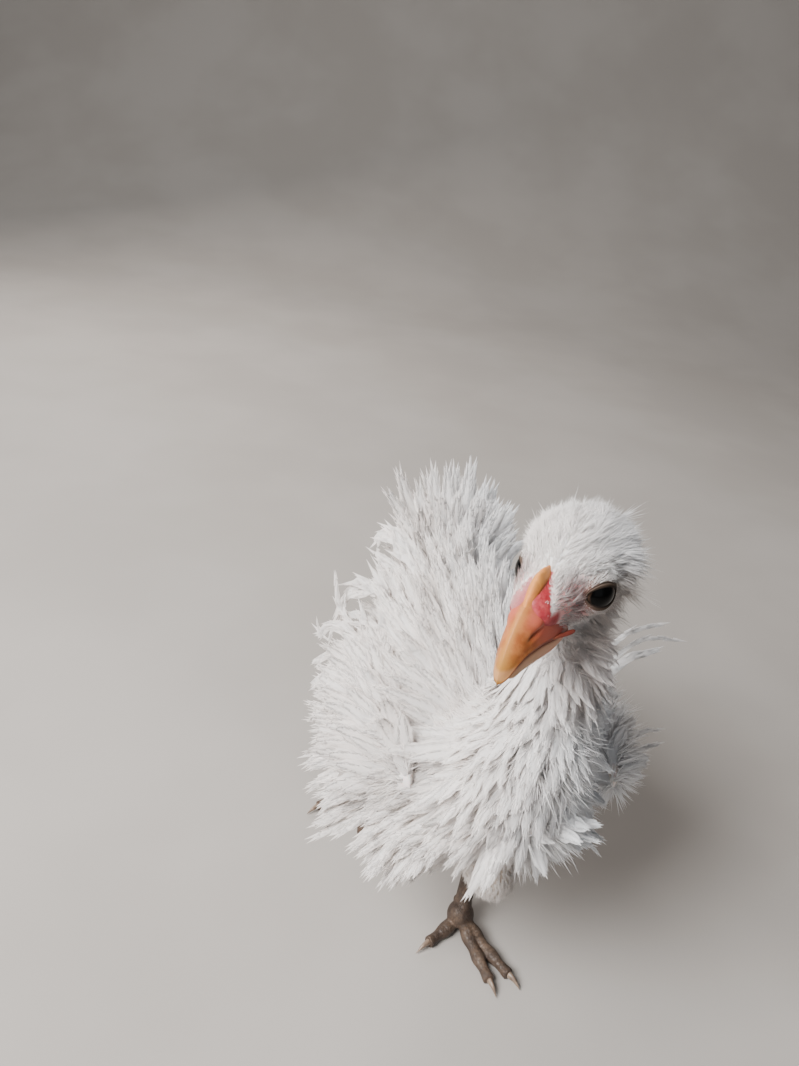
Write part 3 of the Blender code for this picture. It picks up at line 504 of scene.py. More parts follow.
def shafts(sites, steps):
    """Line, heading, across and face along the shafts of many feathers, at steps + 1 stations.

    The heading turns from rise to curl degrees off the lie towards the outward normal as
    share^1.15, and sideways by bend degrees as share^1.5. The line is the sum of its headings.
    """
    root, lie, out, length, _, rise, curl, bend = sites
    lie = along_skin(lie, out)
    side = np.cross(lie, out)
    share = stations(steps)
    pitch = np.radians(rise[:, None] + (curl - rise)[:, None] * share**1.15)[..., None]
    turn = np.radians(bend[:, None] * share**1.5)[..., None]
    level = lie[:, None] * np.cos(turn) + side[:, None] * np.sin(turn)
    heading = level * np.cos(pitch) + out[:, None] * np.sin(pitch)
    across = side[:, None] * np.cos(turn) - lie[:, None] * np.sin(turn)
    move = (heading[:, 1:] + heading[:, :-1]) / 2 * (length[:, None] * np.diff(share))[..., None]
    line = root[:, None] + np.concatenate([np.zeros((len(root), 1, 3)), np.cumsum(move, 1)], 1)
    return line, heading, across, np.cross(across, heading)


def sheets(shaft, width, fray, draw, spread_of):
    """Closed sheets of many feathers: points by feather, triangles of one, and values of one.

    At every station but the last stands a ring of eight points, a flat section with two edges.
    A point at u across lies at shaft + across * u * w + heading * |u|^1.5 * SWEEP * w - face *
    u^2 * CAMBER * w, where w is the half width there, drawn for each edge on its own, so that
    the edges are uneven. The last station is the tip.
    """
    line, heading = shaft[:2]
    count, places = line.shape[:2]
    share = stations(places - 1)[:-1]
    half = np.interp(share, VANE_AT, spread_of) * width[:, None] / 2
    jitter = draw.normal(0, 1, (count, places - 1, 2)).clip(-2, 2)
    uneven = half[..., None] * (1 + 0.20 * fray * jitter)
    w = np.where(AROUND < 0, uneven[..., :1], uneven[..., 1:])[..., None]
    u = AROUND[:, None]
    slip = (fray * 0.35 * draw.normal(0, 1, w.shape)) * np.abs(u)
    ripple = 0.10 * fray * draw.normal(0, 1, w.shape) * np.abs(u)
    centre, h, s, f = (v[:, :-1, None] for v in shaft)
    rings = centre + s * (u * w) + h * ((np.abs(u) ** 1.5 * SWEEP + slip) * w)
    rings = rings - f * ((u**2 * CAMBER + ripple) * w) + f * (ABOVE[:, None] * VANE_THICKNESS)
    root = line[:, 0] - heading[:, 0] * 0.0003
    tip = line[:, -1] + heading[:, -1] * 0.0002
    points = np.concatenate([rings.reshape(count, -1, 3), root[:, None], tip[:, None]], 1)
    faces = tube(np.zeros((places - 1, 8, 3)), np.zeros(3), np.zeros(3))[1]
    edge = np.where(AROUND == -1, 1, np.where(AROUND == 1, 2, 0))
    along = np.append(np.repeat(share, 8), (0.0, 1.0))
    across = np.append(np.tile(AROUND, places - 1), (0.0, 0.0))
    return points, faces, (along, across, np.append(np.tile(edge, places - 1), (3, 3)))


def barb_locks(shaft, width, loose, fray, draw, spread_of, angle):
    """Locks of barbs: thin spikes that leave a vane on both sides, at angles that close ahead.

    Gives four corners for each lock, with how far along and across its feather each one is.
    """
    count, places = shaft[0].shape[:2]
    reach = lengths(shaft)[:, None]
    at = 0.30 + 0.685 * np.linspace(0, 1, loose) ** 0.8 + draw.normal(0, 0.015, (count, loose))
    hand = np.tile((1.0, -1.0), loose)[:loose] * np.ones((count, 1))
    row = np.arange(count)[:, None]
    place = (1 - (1 - at.clip(0, 1)) ** (1 / 1.5)) * (places - 1)
    left = np.minimum(place.astype(int), places - 2)
    t = (place - left)[..., None]
    centre, h, s, f = (v[row, left] * (1 - t) + v[row, left + 1] * t for v in shaft)
    w = np.interp(at, VANE_AT, spread_of) * width[:, None] / 2
    turn = np.radians(angle * (1.1 - 0.75 * at) * draw.uniform(0.6, 1.3, at.shape)) * hand
    lift = 0.03 + 0.08 * fray * draw.normal(0, 1, at.shape)
    ahead = unit(h * np.cos(turn)[..., None] + s * np.sin(turn)[..., None] + f * lift[..., None])
    start = centre + s * (hand * w * 0.45)[..., None] + (h * 0.25 - f * CAMBER * 0.2) * w[..., None]
    long = (reach * (0.23 - 0.10 * at) * draw.uniform(0.60, 1.30, at.shape))[..., None]
    blade = unit(np.cross(f, ahead)) * (long * 0.10 + 0.00010)
    ridge = start + f * 0.00020 + ahead * long * 0.2
    corners = np.stack([start - blade, start + blade, ridge, start + ahead * long], 2)
    along = at[..., None] + (long / reach[..., None]) * np.array((0, 0, 0.2, 1.0))
    return corners, along, hand[..., None] * np.array((0.5, 0.5, 0.6, 1.0))


def lengths(shaft):
    """Length of each shaft along its line."""
    return np.linalg.norm(np.diff(shaft[0], axis=1), axis=2).sum(1)


def vanes(shaft, width, loose, fray, draw, spread_of=VANE_SPREAD, angle=BARB_ANGLE):
    """Many feathers along given shafts: points, triangles and what the material reads.

    Each is a closed sheet with so many loose locks of barbs along its edges. rim marks the
    sheet's left edge 1, its right edge 2 and its ends 3, and owner is the feather's number.
    """
    points, faces, (along, across, rim) = sheets(shaft, width, fray, draw, spread_of)
    corners, lock_along, lock_across = barb_locks(shaft, width, loose, fray, draw, spread_of, angle)
    count, size = points.shape[:2]
    locks = count * loose
    sheet_faces = faces[None] + (np.arange(count) * size)[:, None, None]
    lock_faces = SPIKE[None] + (np.arange(locks) * 4 + count * size)[:, None, None]
    number = np.arange(count)
    return {
        "points": np.vstack([points.reshape(-1, 3), corners.reshape(-1, 3)]),
        "faces": np.vstack([sheet_faces.reshape(-1, 3), lock_faces.reshape(-1, 3)]),
        "along": np.append(np.tile(along, count), lock_along).clip(0, 1),
        "across": np.append(np.tile(across, count), lock_across),
        "rim": np.append(np.tile(rim, count), np.zeros(locks * 4, int)),
        "smooth": np.append(np.ones(len(faces) * count, bool), np.zeros(locks * 4, bool)),
        "owner": np.append(np.repeat(number, size), np.repeat(number, loose * 4)),
        "long": lengths(shaft),
    }


def down(root, lie, out, length, rise, strands, fan, thickness, draw):
    """Tufts of down: strands that fan out from one root, each a thin three-sided spike."""
    count = len(root)
    lie = along_skin(lie, out)
    side = np.cross(lie, out)
    jitter = draw.normal(0, 1, (count, strands, 4))
    turn = (jitter[..., 0] * math.radians(fan))[..., None]
    pitch = (np.radians(rise)[:, None] + jitter[..., 1] * math.radians(fan * 0.6))[..., None]
    ahead = (lie[:, None] * np.cos(turn) + side[:, None] * np.sin(turn)) * np.cos(pitch)
    ahead = ahead + out[:, None] * np.sin(pitch)
    reach = (length[:, None] * (1 + 0.22 * jitter[..., 2])).clip(0.0006)[..., None]
    blade = unit(np.cross(out[:, None], ahead))
    face = np.cross(ahead, blade)
    start = root[:, None] + blade * (jitter[..., 3:4] * thickness * 1.5)
    tip = start + ahead * reach
    corners = [start - blade * thickness, start + blade * thickness, start + face * thickness * 0.9, tip]
    faces = (np.arange(count * strands) * 4)[:, None, None] + SPIKE
    return {
        "points": np.stack(corners, 2).reshape(-1, 3),
        "faces": faces.reshape(-1, 3),
        "along": np.tile((0.0, 0.0, 0.0, 1.0), count * strands),
        "across": np.tile(np.repeat(np.linspace(-1, 1, strands), 4), count),
        "rim": np.zeros(count * strands * 4, int),
        "smooth": np.zeros(len(faces) * 4, bool),
        "owner": np.repeat(np.arange(count), strands * 4),
        "long": length,
    }


def gathered(p, lie, n, length, width, rise, curl, bend, size, pull, draw):
    """Feathers drawn together in tufts, as damp or preened ones are.

    The tufts' middles are places a given size apart. Each tuft has its own small turn, length
    and curl, and its feathers lean by the share pull towards the tip of the middle one.
    """
    middles = np.array(thinned(p, size))
    tree = tree_of(p[middles])
    mine = np.array([tree.find(place)[1] for place in p])
    way = along_skin(lie, n) + draw.normal(0, 0.16, (len(middles), 3))[mine]
    length = length * draw.uniform(0.84, 1.12, len(middles))[mine]
    aim = p[middles][mine] + (way[middles] * (length[middles] * 0.95)[:, None])[mine] - p
    lie = unit(way) * (1 - pull) + unit(aim) * pull
    rise = rise + draw.normal(0, 4, len(middles))[mine]
    curl = curl + draw.normal(0, 13, len(middles))[mine]
    bend = bend + draw.normal(0, 7, len(middles))[mine]
    return p - n * ROOT_DEPTH, lie, n, length, width, rise, curl, bend


def coat_piece(name, made, chart, material, draw):
    """A coat piece: its mesh, the OFBake map, and the attributes that its material reads.

    chart is each root's place on the unwrap of the skin's own form: run and angle, 0 to 1.
    Every feather's points fall in a patch PATCH across, at its root's place there.
    """
    mesh = mesh_of(name, made["points"], made["faces"])
    owner = made["owner"]
    inset = PATCH + clamp(chart) * (1 - 2 * PATCH)
    patch = inset[owner] + PATCH * (np.stack([made["along"], made["across"] / 2 + 0.5], 1) - 0.5)
    uv = mesh.uv_layers.new(name="OFBake")
    uv.uv.foreach_set("vector", patch[made["faces"].ravel()].astype(np.float32).ravel())
    paint(mesh, "along", made["along"])
    paint(mesh, "across", made["across"])
    paint(mesh, "tone", draw.random(len(chart))[owner])
    paint(mesh, "long", made["long"][owner])
    ends = np.zeros(len(mesh.edges) * 2, np.int32)
    mesh.edges.foreach_get("vertices", ends)
    first, second = made["rim"][ends.reshape(-1, 2)].T
    sharp = (first > 0) & (second > 0) & ((first == second) | (first == 3) | (second == 3))
    mesh.attributes.new("sharp_edge", "BOOLEAN", "EDGE").data.foreach_set("value", sharp)
    return add_piece(name, mesh, material, smooth=made["smooth"])


# Materials

class Wiring:
    """Short forms for adding and joining the nodes of one tree."""

    def __init__(self, tree):
        self.tree = tree

    def add(self, kind, *values, **settings):
        """A new node, with settings and the values of its first inputs."""
        made = self.tree.nodes.new(kind)
        for key, value in settings.items():
            setattr(made, key, value)
        for place, value in enumerate(values):
            self.put(made.inputs[place], value)
        return made

    def put(self, socket, value):
        """Links another socket to this one, or sets its plain value, or leaves it for None."""
        if isinstance(value, bpy.types.NodeSocket):
            self.tree.links.new(value, socket)
        elif value is not None:
            socket.default_value = value

    def math(self, operation, *values):
        return self.add("ShaderNodeMath", *values, operation=operation).outputs[0]

    def times(self, first, *others):
        """The product of two or more values."""
        for other in others:
            first = self.math("MULTIPLY", first, other)
        return first

    def distance(self, place, centre):
        """How far a place is from a centre given in body axes."""
        return self.add(
            "ShaderNodeVectorMath", place, tuple(centre + SHIFT), operation="DISTANCE"
        ).outputs["Value"]

    def step(self, value, low, high, first=0.0, last=1.0):
        """Smooth change from first to last as value goes from low to high."""
        return self.add(
            "ShaderNodeMapRange", value, low, high, first, last, interpolation_type="SMOOTHSTEP"
        ).outputs[0]

    def mix(self, share, first, last):
        made = self.add("ShaderNodeMix", data_type="RGBA")
        for key, value in (("Factor_Float", share), ("A_Color", first), ("B_Color", last)):
            self.put(next(s for s in made.inputs if s.identifier == key), value)
        return next(s for s in made.outputs if s.identifier == "Result_Color")

    def layers(self, colour, *layers):
        """Lays colours over the first one, each as strongly as its mask times its share."""
        for mask, share, over in layers:
            colour = self.mix(self.times(mask, share), colour, over)
        return colour

    def bump(self, shader, strength, height, relief=0.0002):
        """Lets a height of so many metres of relief turn the shader's normal."""
        made = self.add("ShaderNodeBump", strength, relief)
        self.put(made.inputs["Height"], height)
        self.put(shader.inputs["Normal"], made.outputs[0])

    def noise(self, place, scale, detail=3.0):
        return self.add("ShaderNodeTexNoise", place, None, scale, detail, 0.55).outputs[0]

    def object_place(self):
        """Each point's own place, which is its place in the frame's axes."""
        return self.add("ShaderNodeTexCoord").outputs["Object"]

    def attribute(self, name):
        return self.add("ShaderNodeAttribute", attribute_name=name).outputs["Fac"]

    def group(self, shared, *values):
        made = self.add("ShaderNodeGroup", node_tree=shared)
        for place, value in enumerate(values):
            self.put(made.inputs[place], value)
        return made.outputs


def rgb(red, green, blue):
    """A colour as a socket takes it, in linear light."""
    return (red, green, blue, 1.0)


def material(name, roughness=0.6, **sockets):
    """A material whose plain values are set on its shader's own sockets."""
    made = bpy.data.materials.new(name)
    made.use_nodes = True
    shader = made.node_tree.nodes["Principled BSDF"]
    shader.inputs["Roughness"].default_value = roughness
    for key, value in sockets.items():
        shader.inputs[key.replace("_", " ").title().replace("Ior", "IOR")].default_value = value
    return made, shader, Wiring(made.node_tree)


def new_group(name, inputs, outputs):
    """An empty shader node group with named sockets, its wiring, and its two ends."""
    tree = bpy.data.node_groups.new(name, "ShaderNodeTree")
    for label, kind in inputs:
        tree.interface.new_socket(label, in_out="INPUT", socket_type="NodeSocket" + kind)
    for label, kind in outputs:
        tree.interface.new_socket(label, in_out="OUTPUT", socket_type="NodeSocket" + kind)
    wiring = Wiring(tree)
    return tree, wiring, wiring.add("NodeGroupInput").outputs, wiring.add("NodeGroupOutput").inputs


def head_places_group():
    """Forward, left and up of a place in head axes, each a dot product, in millimetres."""
    tree, w, given, result = new_group(
        "head_places", [("Place", "Vector")], [("Forward", "Float"), ("Left", "Float"), ("Up", "Float")]
    )
    centre = tuple(HEAD_CENTRE + SHIFT)
    apart = w.add("ShaderNodeVectorMath", given[0], centre, operation="SUBTRACT").outputs[0]
    for axis, socket in zip(HEAD, result):
        dot = w.add("ShaderNodeVectorMath", apart, tuple(axis), operation="DOT_PRODUCT").outputs["Value"]
        w.put(socket, w.times(dot, 1000.0))
    return tree


def near_group():
    """1 at a centre, falling smoothly to 0 at a given reach, in stretched head axes."""
    labels = (
        "Forward", "Left", "Up", "Forward 0", "Left 0", "Up 0",
        "Reach forward", "Reach side", "Reach up",
    )
    tree, w, given, result = new_group("near", [(x, "Float") for x in labels], [("Near", "Float")])
    total = None
    for k in range(3):
        apart = w.math("SUBTRACT", given[k], given[k + 3])
        square = w.math("POWER", w.math("ABSOLUTE", w.math("DIVIDE", apart, given[k + 6])), 2.0)
        total = square if total is None else w.math("ADD", total, square)
    w.put(result[0], w.step(w.math("SQRT", total), 1.0, 0.35))
    return tree


# Spots on the head, the same on both sides: forward, out to the side and up in millimetres, then
# how far each reaches along these.
SPOTS = {
    "eye": (1.8, 12.0, -1.3, 9.5, 9.0, 8.0),
    "lore": (9.5, 8.5, 1.0, 8.5, 7.5, 11.0),
    "gape": (7.0, 8.0, -8.5, 5.0, 3.5, 2.5),
    "ear": (-5.0, 12.0, -10.0, 14.0, 10.0, 14.0),
    "temple": (-7.0, 14.0, -5.5, 12.0, 9.0, 10.0),
}
# Middle of a patch of painted shade on the throat's left side, below the head.
NECK_SHADE_CENTRE = np.array((0.015, -0.040, 0.148))


def red_skin(w, place, forward, left, up):
    """Mask of the red skin: a ragged band along the comb, wider ahead, and the bill's low root."""
    band = w.times(w.step(forward, 7.0, 9.5), w.math("ADD", w.times(forward, 0.42), -2.2))
    ragged = w.times(w.math("SUBTRACT", w.noise(place, 700.0, 2.0), 0.5), 3.0)
    inside = w.math("ADD", w.math("SUBTRACT", band, w.math("ABSOLUTE", left)), ragged)
    weaker_right = w.step(left, -6.0, 1.0, 0.65, 1.0)
    bill_end = w.step(forward, 26.0, 22.0)
    red = w.times(w.step(inside, -0.6, 0.5), w.step(forward, 7.8, 9.0), weaker_right)
    red = w.times(red, w.step(up, -9.0, -6.0), bill_end)
    low = w.times(w.step(forward, 13.0, 14.8), w.step(up, 2.5, 0.5), w.step(up, -7.5, -4.5), bill_end)
    return w.math("MAXIMUM", red, low)


def furrow_shade_and_dirt(w, x, y, z):
    """Mask of the furrow down the breast, where the feathers part, which darkens them as painted shade in the
    furrow and partly as soiled feathers.
    """
    lean = w.times(w.math("SUBTRACT", z, FURROW_LEVEL), FURROW_LEAN)
    apart = w.math("ADD", w.math("SUBTRACT", x, FURROW_SIDE + float(SHIFT[0])), lean)
    line = w.step(w.math("ABSOLUTE", apart), 0.009, 0.002)
    return w.times(line, w.step(z, 0.118, 0.108), w.step(y, -0.030, -0.040))


def markings_group(places, near):
    """The colours that skin and coat share: a flesh colour and a feather colour for each place.

    Flesh is pale pink with darker flecks, browner down the thighs, olive grey round the eye,
    pink on the lore, and red along the comb, at the bill's root and at the gape. Feathers are a
    white that is warm on the right side and cool on the left, partly their own tone and partly
    painted light: painted warm light on the right, painted cool shade on the left. They are
    darker in the breast's furrow (painted shade, and partly soiled feathers), on the left flank
    (painted shade), over the keel's lobe, on the throat (painted shade), on ear and temple
    (partly brownish down, partly painted shade), on the lore (partly dark hairs, partly painted
    shade), and darkest round the eye.
    """
    tree, w, given, result = new_group(
        "markings", [("Place", "Vector")], [("Flesh", "Color"), ("Feather", "Color")]
    )
    place = given[0]
    forward, left, up = w.group(places, place)[:3]
    width = w.math("ABSOLUTE", left)
    spot = {name: w.group(near, forward, width, up, *sizes)[0] for name, sizes in SPOTS.items()}
    x, y, z = w.add("ShaderNodeSeparateXYZ", place).outputs
    red = red_skin(w, place, forward, left, up)
    patches = w.noise(place, 60.0, 3.0)

    thigh = w.times(w.step(z, 0.082, 0.074), w.step(z, 0.050, 0.056))
    crown = w.times(w.step(up, 1.0, 5.0), w.step(forward, 12.0, 7.0))
    mottled = w.step(w.noise(place, 620.0, 4.0), 0.38, 0.66)
    flesh = w.mix(w.step(patches, 0.35, 0.7), rgb(0.80, 0.76, 0.73), rgb(0.75, 0.68, 0.65))
    flesh = w.layers(
        flesh,
        (w.step(w.noise(place, 900.0, 2.0), 0.60, 0.72), 0.5, rgb(0.42, 0.26, 0.22)),
        (thigh, 1.0, rgb(0.44, 0.35, 0.29)),
        (crown, 0.9, rgb(0.70, 0.67, 0.65)),
        (spot["eye"], 0.8, rgb(0.40, 0.34, 0.28)),
        (spot["lore"], 1.0, rgb(0.80, 0.33, 0.32)),
        (red, 1.0, w.mix(mottled, rgb(0.31, 0.018, 0.026), rgb(0.42, 0.055, 0.060))),
        (spot["gape"], 1.0, rgb(0.78, 0.16, 0.12)),
    )
    # Partly the feathers' own tone, partly painted light: warm light on the right side, cool shade on the
    # left.
    white = w.mix(w.step(x, 0.02, -0.03), rgb(0.85, 0.87, 0.90), rgb(0.93, 0.87, 0.83))
    white = w.layers(
        white,
        (w.step(patches, 0.45, 0.75), 0.25, rgb(0.88, 0.80, 0.76)),
        # Painted shade in the breast's furrow, and partly soiled feathers.
        (furrow_shade_and_dirt(w, x, y, z), 0.45, rgb(0.52, 0.50, 0.50)),
        # Painted shade on the left flank and wing, the side turned away from the key light.
        (w.step(x, 0.018, 0.042), 0.50, rgb(0.56, 0.50, 0.46)),
        (w.step(w.distance(place, KEEL_OPENING), 0.020, 0.012), 0.60, rgb(0.50, 0.42, 0.35)),
        # Painted shade on the throat's left side.
        (w.step(w.distance(place, NECK_SHADE_CENTRE), 0.022, 0.008), 0.60, rgb(0.54, 0.44, 0.40)),
        # Ear and temple: partly brownish down, partly painted shade on the cheek behind the eye.
        (spot["ear"], 0.80, rgb(0.36, 0.29, 0.255)),
        (spot["temple"], 0.75, rgb(0.30, 0.245, 0.215)),
        (spot["eye"], 0.92, rgb(0.17, 0.135, 0.112)),
        # The lore's feathers: partly dark hairs, partly painted shade.
        (spot["lore"], 0.90, rgb(0.23, 0.095, 0.092)),
        (red, 0.5, rgb(0.82, 0.30, 0.28)),
    )
    w.put(result[0], flesh)
    w.put(result[1], white)
    return tree


def barbs_group():
    """Fine lines that leave the shaft at a slant: streaks of noise in the vane's own places."""
    tree, w, given, result = new_group("barbs", [("Fineness", "Float")], [("Lines", "Float")])
    along = w.times(w.attribute("along"), w.times(w.attribute("long"), 1000.0))
    across = w.math("ABSOLUTE", w.attribute("across"))
    slant = w.math("SUBTRACT", along, w.times(across, 3.2))
    own = w.times(w.attribute("tone"), 90.0)
    place = w.add("ShaderNodeCombineXYZ", w.times(slant, given[0]), across, own).outputs[0]
    w.put(result[0], w.noise(place, 1.0, 2.0))
    return tree


def plumage_material(name, markings, barbs, fineness, root_tint, roughness):
    """Feather: the markings' white, tinted towards the root, each feather a little its own."""
    made, shader, w = material(
        name, roughness, sheen_weight=0.15, sheen_roughness=0.5, specular_ior_level=0.2,
        subsurface_weight=0.5, subsurface_scale=0.0030, subsurface_radius=(1.0, 0.9, 0.85),
    )
    base = w.group(markings, w.object_place())[1]
    lines = w.group(barbs, fineness)[0]
    colour = w.layers(
        base,
        (w.step(w.attribute("along"), 0.70, 0.0), 0.55, root_tint),
        (w.step(w.attribute("tone"), 0.0, 1.0), 0.18, rgb(0.82, 0.79, 0.77)),
        (w.step(lines, 0.55, 0.35), 0.10, rgb(0.74, 0.71, 0.69)),
    )
    w.put(shader.inputs["Base Color"], colour)
    w.bump(shader, 0.22, lines)
    return made


def skin_material(markings):
    """Flesh with pores and fine folds."""
    made, shader, w = material("bare_skin", 0.55, subsurface_weight=0.15, subsurface_scale=0.002)
    place = w.object_place()
    w.put(shader.inputs["Base Color"], w.group(markings, place)[0])
    pores = w.add("ShaderNodeTexVoronoi", place, None, 1400.0, feature="F1").outputs["Distance"]
    w.bump(shader, 0.5, w.math("ADD", w.times(pores, 0.6), w.noise(place, 700.0, 3.0)))
    return made


def bill_material(places):
    """Horn: orange brown on the sides, yellow brown on the culmen and tip, red at the root.

    The attribute pale marks the lower bill, and lip the mouth line and the palate, where it paints shade into
    the gap between the bills.
    """
    made, shader, w = material(
        "bill_horn", 0.40, specular_ior_level=0.3, subsurface_weight=0.1, subsurface_scale=0.0015
    )
    place = w.object_place()
    forward, left, up = w.group(places, place)[:3]
    width = w.math("ABSOLUTE", left)
    grain = w.step(w.noise(place, 420.0, 3.0), 0.35, 0.7)
    ridge = w.times(w.step(width, 1.5, 0.4), w.step(forward, 8.0, 14.0))
    base = w.step(w.math("SUBTRACT", forward, w.times(up, 0.30)), 25.0, 18.5)
    root = w.step(w.math("SUBTRACT", forward, w.times(up, 0.50)), 18.5, 11.5)
    rim = w.step(w.math("ABSOLUTE", w.math("ADD", up, 7.4)), 1.6, 0.6)
    colour = w.layers(
        w.mix(grain, rgb(0.36, 0.105, 0.030), rgb(0.48, 0.17, 0.055)),
        (ridge, 0.75, rgb(0.48, 0.210, 0.055)),
        (w.step(forward, 25.0, 33.0), 0.90, rgb(0.37, 0.185, 0.032)),
        (base, w.step(width, 0.8, 2.4, 0.1, 0.85), rgb(0.52, 0.11, 0.075)),
        (root, w.step(width, 1.2, 2.2, 0.1, 0.85), rgb(0.40, 0.060, 0.060)),
        (rim, 0.30, rgb(0.76, 0.42, 0.26)),
        (w.attribute("pale"), 0.55, rgb(0.72, 0.42, 0.24)),
        # Painted shade along the mouth line and inside the mouth.
        (w.attribute("lip"), 0.80, rgb(0.16, 0.045, 0.025)),
    )
    w.put(shader.inputs["Base Color"], colour)
    w.bump(shader, 0.15, w.noise(place, 1500.0, 2.0))
    return made


def plain_material(name, first, last, scale, roughness, bump_scale, bump_strength, **sockets):
    """Two tones mixed by noise, with a fine bump."""
    made, shader, w = material(name, roughness, **sockets)
    place = w.object_place()
    w.put(shader.inputs["Base Color"], w.mix(w.step(w.noise(place, scale), 0.35, 0.68), first, last))
    w.bump(shader, bump_strength, w.noise(place, bump_scale, 2.0))
    return made


def eye_material():
    """Dark eye: the attribute ring runs from 0 at the pupil's centre to 1 at the lid."""
    made, shader, w = material("eye", 0.16, specular_ior_level=0.12)
    ring = w.attribute("ring")
    streaks = w.noise(w.object_place(), 1800.0, 2.0)
    iris = w.mix(streaks, rgb(0.020, 0.011, 0.007), rgb(0.060, 0.032, 0.020))
    colour = w.mix(w.step(ring, 0.50, 0.64), rgb(0.001, 0.001, 0.001), iris)
    colour = w.mix(w.step(ring, 0.84, 0.98), colour, rgb(0.006, 0.004, 0.003))
    w.put(shader.inputs["Base Color"], colour)
    return made


def lid_material(markings):
    """Lids: the skin's colour round the eye, dark at the rim, with painted shade in the hollows of the folds;
    ring is 0 at the rim, 1 outside.
    """
    made, shader, w = material("eyelid", 0.7, specular_ior_level=0.15)
    place = w.object_place()
    ring = w.attribute("ring")
    outer = w.mix(0.75, w.group(markings, place)[0], rgb(0.17, 0.125, 0.098))
    # Painted shade in the hollows of the lids' folds, where the skin dips.
    crease_shade = w.step(w.math("SINE", w.times(ring, float(LID_FOLDS))), -0.1, -0.9)
    colour = w.layers(
        w.mix(w.step(ring, 0.10, 0.60), rgb(0.070, 0.048, 0.034), outer),
        (crease_shade, 0.70, rgb(0.035, 0.022, 0.017)),
        (w.step(ring, 0.14, 0.04), 1.0, rgb(0.014, 0.009, 0.007)),
    )
    w.put(shader.inputs["Base Color"], colour)
    w.bump(shader, 0.5, w.noise(place, 1500.0, 2.0))
    return made


def scale_material():
    """Leg scales: dark brown plates with paler worn tops and small scales between."""
    made, shader, w = material("leg_scales", 0.5, specular_ior_level=0.4)
    place = w.object_place()
    cells = w.add("ShaderNodeTexVoronoi", place, None, 850.0, feature="DISTANCE_TO_EDGE")
    seams = w.step(cells.outputs["Distance"], 0.0, 0.12)
    tones = w.noise(place, 160.0, 3.0)
    colour = w.layers(
        w.mix(w.step(tones, 0.35, 0.7), rgb(0.055, 0.036, 0.026), rgb(0.135, 0.090, 0.062)),
        (w.step(tones, 0.62, 0.8), 0.5, rgb(0.26, 0.16, 0.12)),
        (w.step(seams, 1.0, 0.0), 0.5, rgb(0.03, 0.02, 0.016)),
    )
    w.put(shader.inputs["Base Color"], colour)
    w.bump(shader, 0.5, seams, 0.0003)
    return made


# Body forms and skin

TRUNK = Form(TRUNK_ROWS, UP, (0.5, 0.5), SKIN_DEPTH)
NECK = Form(NECK_ROWS, (0, 1, 0), (0.06, 0.06), SKIN_DEPTH)
SKULL = Form(head_rows(HEAD_ROWS), HEAD[2], (0.06, 0.42), HEAD_DEPTH)
TAIL = Form(TAIL_ROWS, UP, (0.5, 0.5), SKIN_DEPTH)
KEEL = Form(KEEL_ROWS, UP, (0.5, 0.5))


def wing_form(side, depth):
    """The form of one wing, 1 for the left and -1 for the right, less a depth all round."""
    rows = [(side * row[0], *row[1:]) for row in WING_ROWS]
    return Form(rows, (-side * WING_LEAN, 0, 1), (0.4, 0.5), depth)


WINGS = {1: wing_form(1, SKIN_DEPTH * 0.7), -1: wing_form(-1, SKIN_DEPTH * 0.7)}
THIGHS = {
    1: Form(LEFT_THIGH_ROWS, (0, 1, 0), (0.3, 0.06), SKIN_DEPTH * 0.6),
    -1: Form(RIGHT_THIGH_ROWS, (0, 1, 0), (0.3, 0.06), SKIN_DEPTH * 0.6),
}
FORMS = {
    "trunk": TRUNK, "neck": NECK, "head": SKULL, "tail": TAIL,
    "wing_left": WINGS[1], "wing_right": WINGS[-1], "thigh_left": THIGHS[1], "thigh_right": THIGHS[-1],
}
SKIN_VOXEL = 0.0010


def body_skin(look):
    """One skin over trunk, keel's lobe, neck, head, wings, thighs and tail root.

    It stands for all the flesh nodes.
    """
    points, faces = joined([form.mesh() for form in (*FORMS.values(), KEEL)])
    points, quads = fused(points, faces, SKIN_VOXEL, 6)
    for side in (1, -1):
        points = raise_orbit(points, side)
    nodes = ["torso", "neck", "head", "tail", "wing_left", "wing_right", "thigh_left", "thigh_right"]
    add_piece("skin", mesh_of("skin", points, quads), look, nodes)
    return points, normals_of(points, quads), quads


# Head

def side_hand(side):
    """The word for a side: 1 is the bird's left."""
    return "left" if side > 0 else "right"


def eye_frame(side):
    """Ahead, up and out of an eye, and its centre."""
    out = unit(np.array((EYE_OUT[0], side * EYE_OUT[1], EYE_OUT[2]))) @ HEAD
    ahead = unit(HEAD[0] - out * (HEAD[0] @ out))
    centre = on_head((EYE_PLACE[0], side * EYE_PLACE[1] + RIGHT_EYE_IN * (side < 0), EYE_PLACE[2]))
    return np.stack([ahead, np.cross(out, ahead) * -side, out]), centre


def from_eye(points, side):
    """Distance of points from an eye's axis, and their height along it from its centre."""
    axes, centre = eye_frame(side)
    local = (points - centre) @ axes.T
    return np.hypot(local[:, 0], local[:, 1]), local[:, 2]


def raise_orbit(points, side):
    """The skin swells towards the lids as a cone's side, and sinks under their opening."""
    axes, _ = eye_frame(side)
    away, high = from_eye(points, side)
    cone = ORBIT_HEIGHT - ORBIT_FALL * (away - ORBIT_EDGE)
    pit = np.maximum(ORBIT_HEIGHT - 5 * (ORBIT_EDGE - away), 0.0015)
    raised = np.where(away > ORBIT_EDGE, np.maximum(high, cone), pit)
    here = (high > 0) & (away < ORBIT_REACH)
    return points + axes[2] * np.where(here, raised - high, 0.0)[:, None]


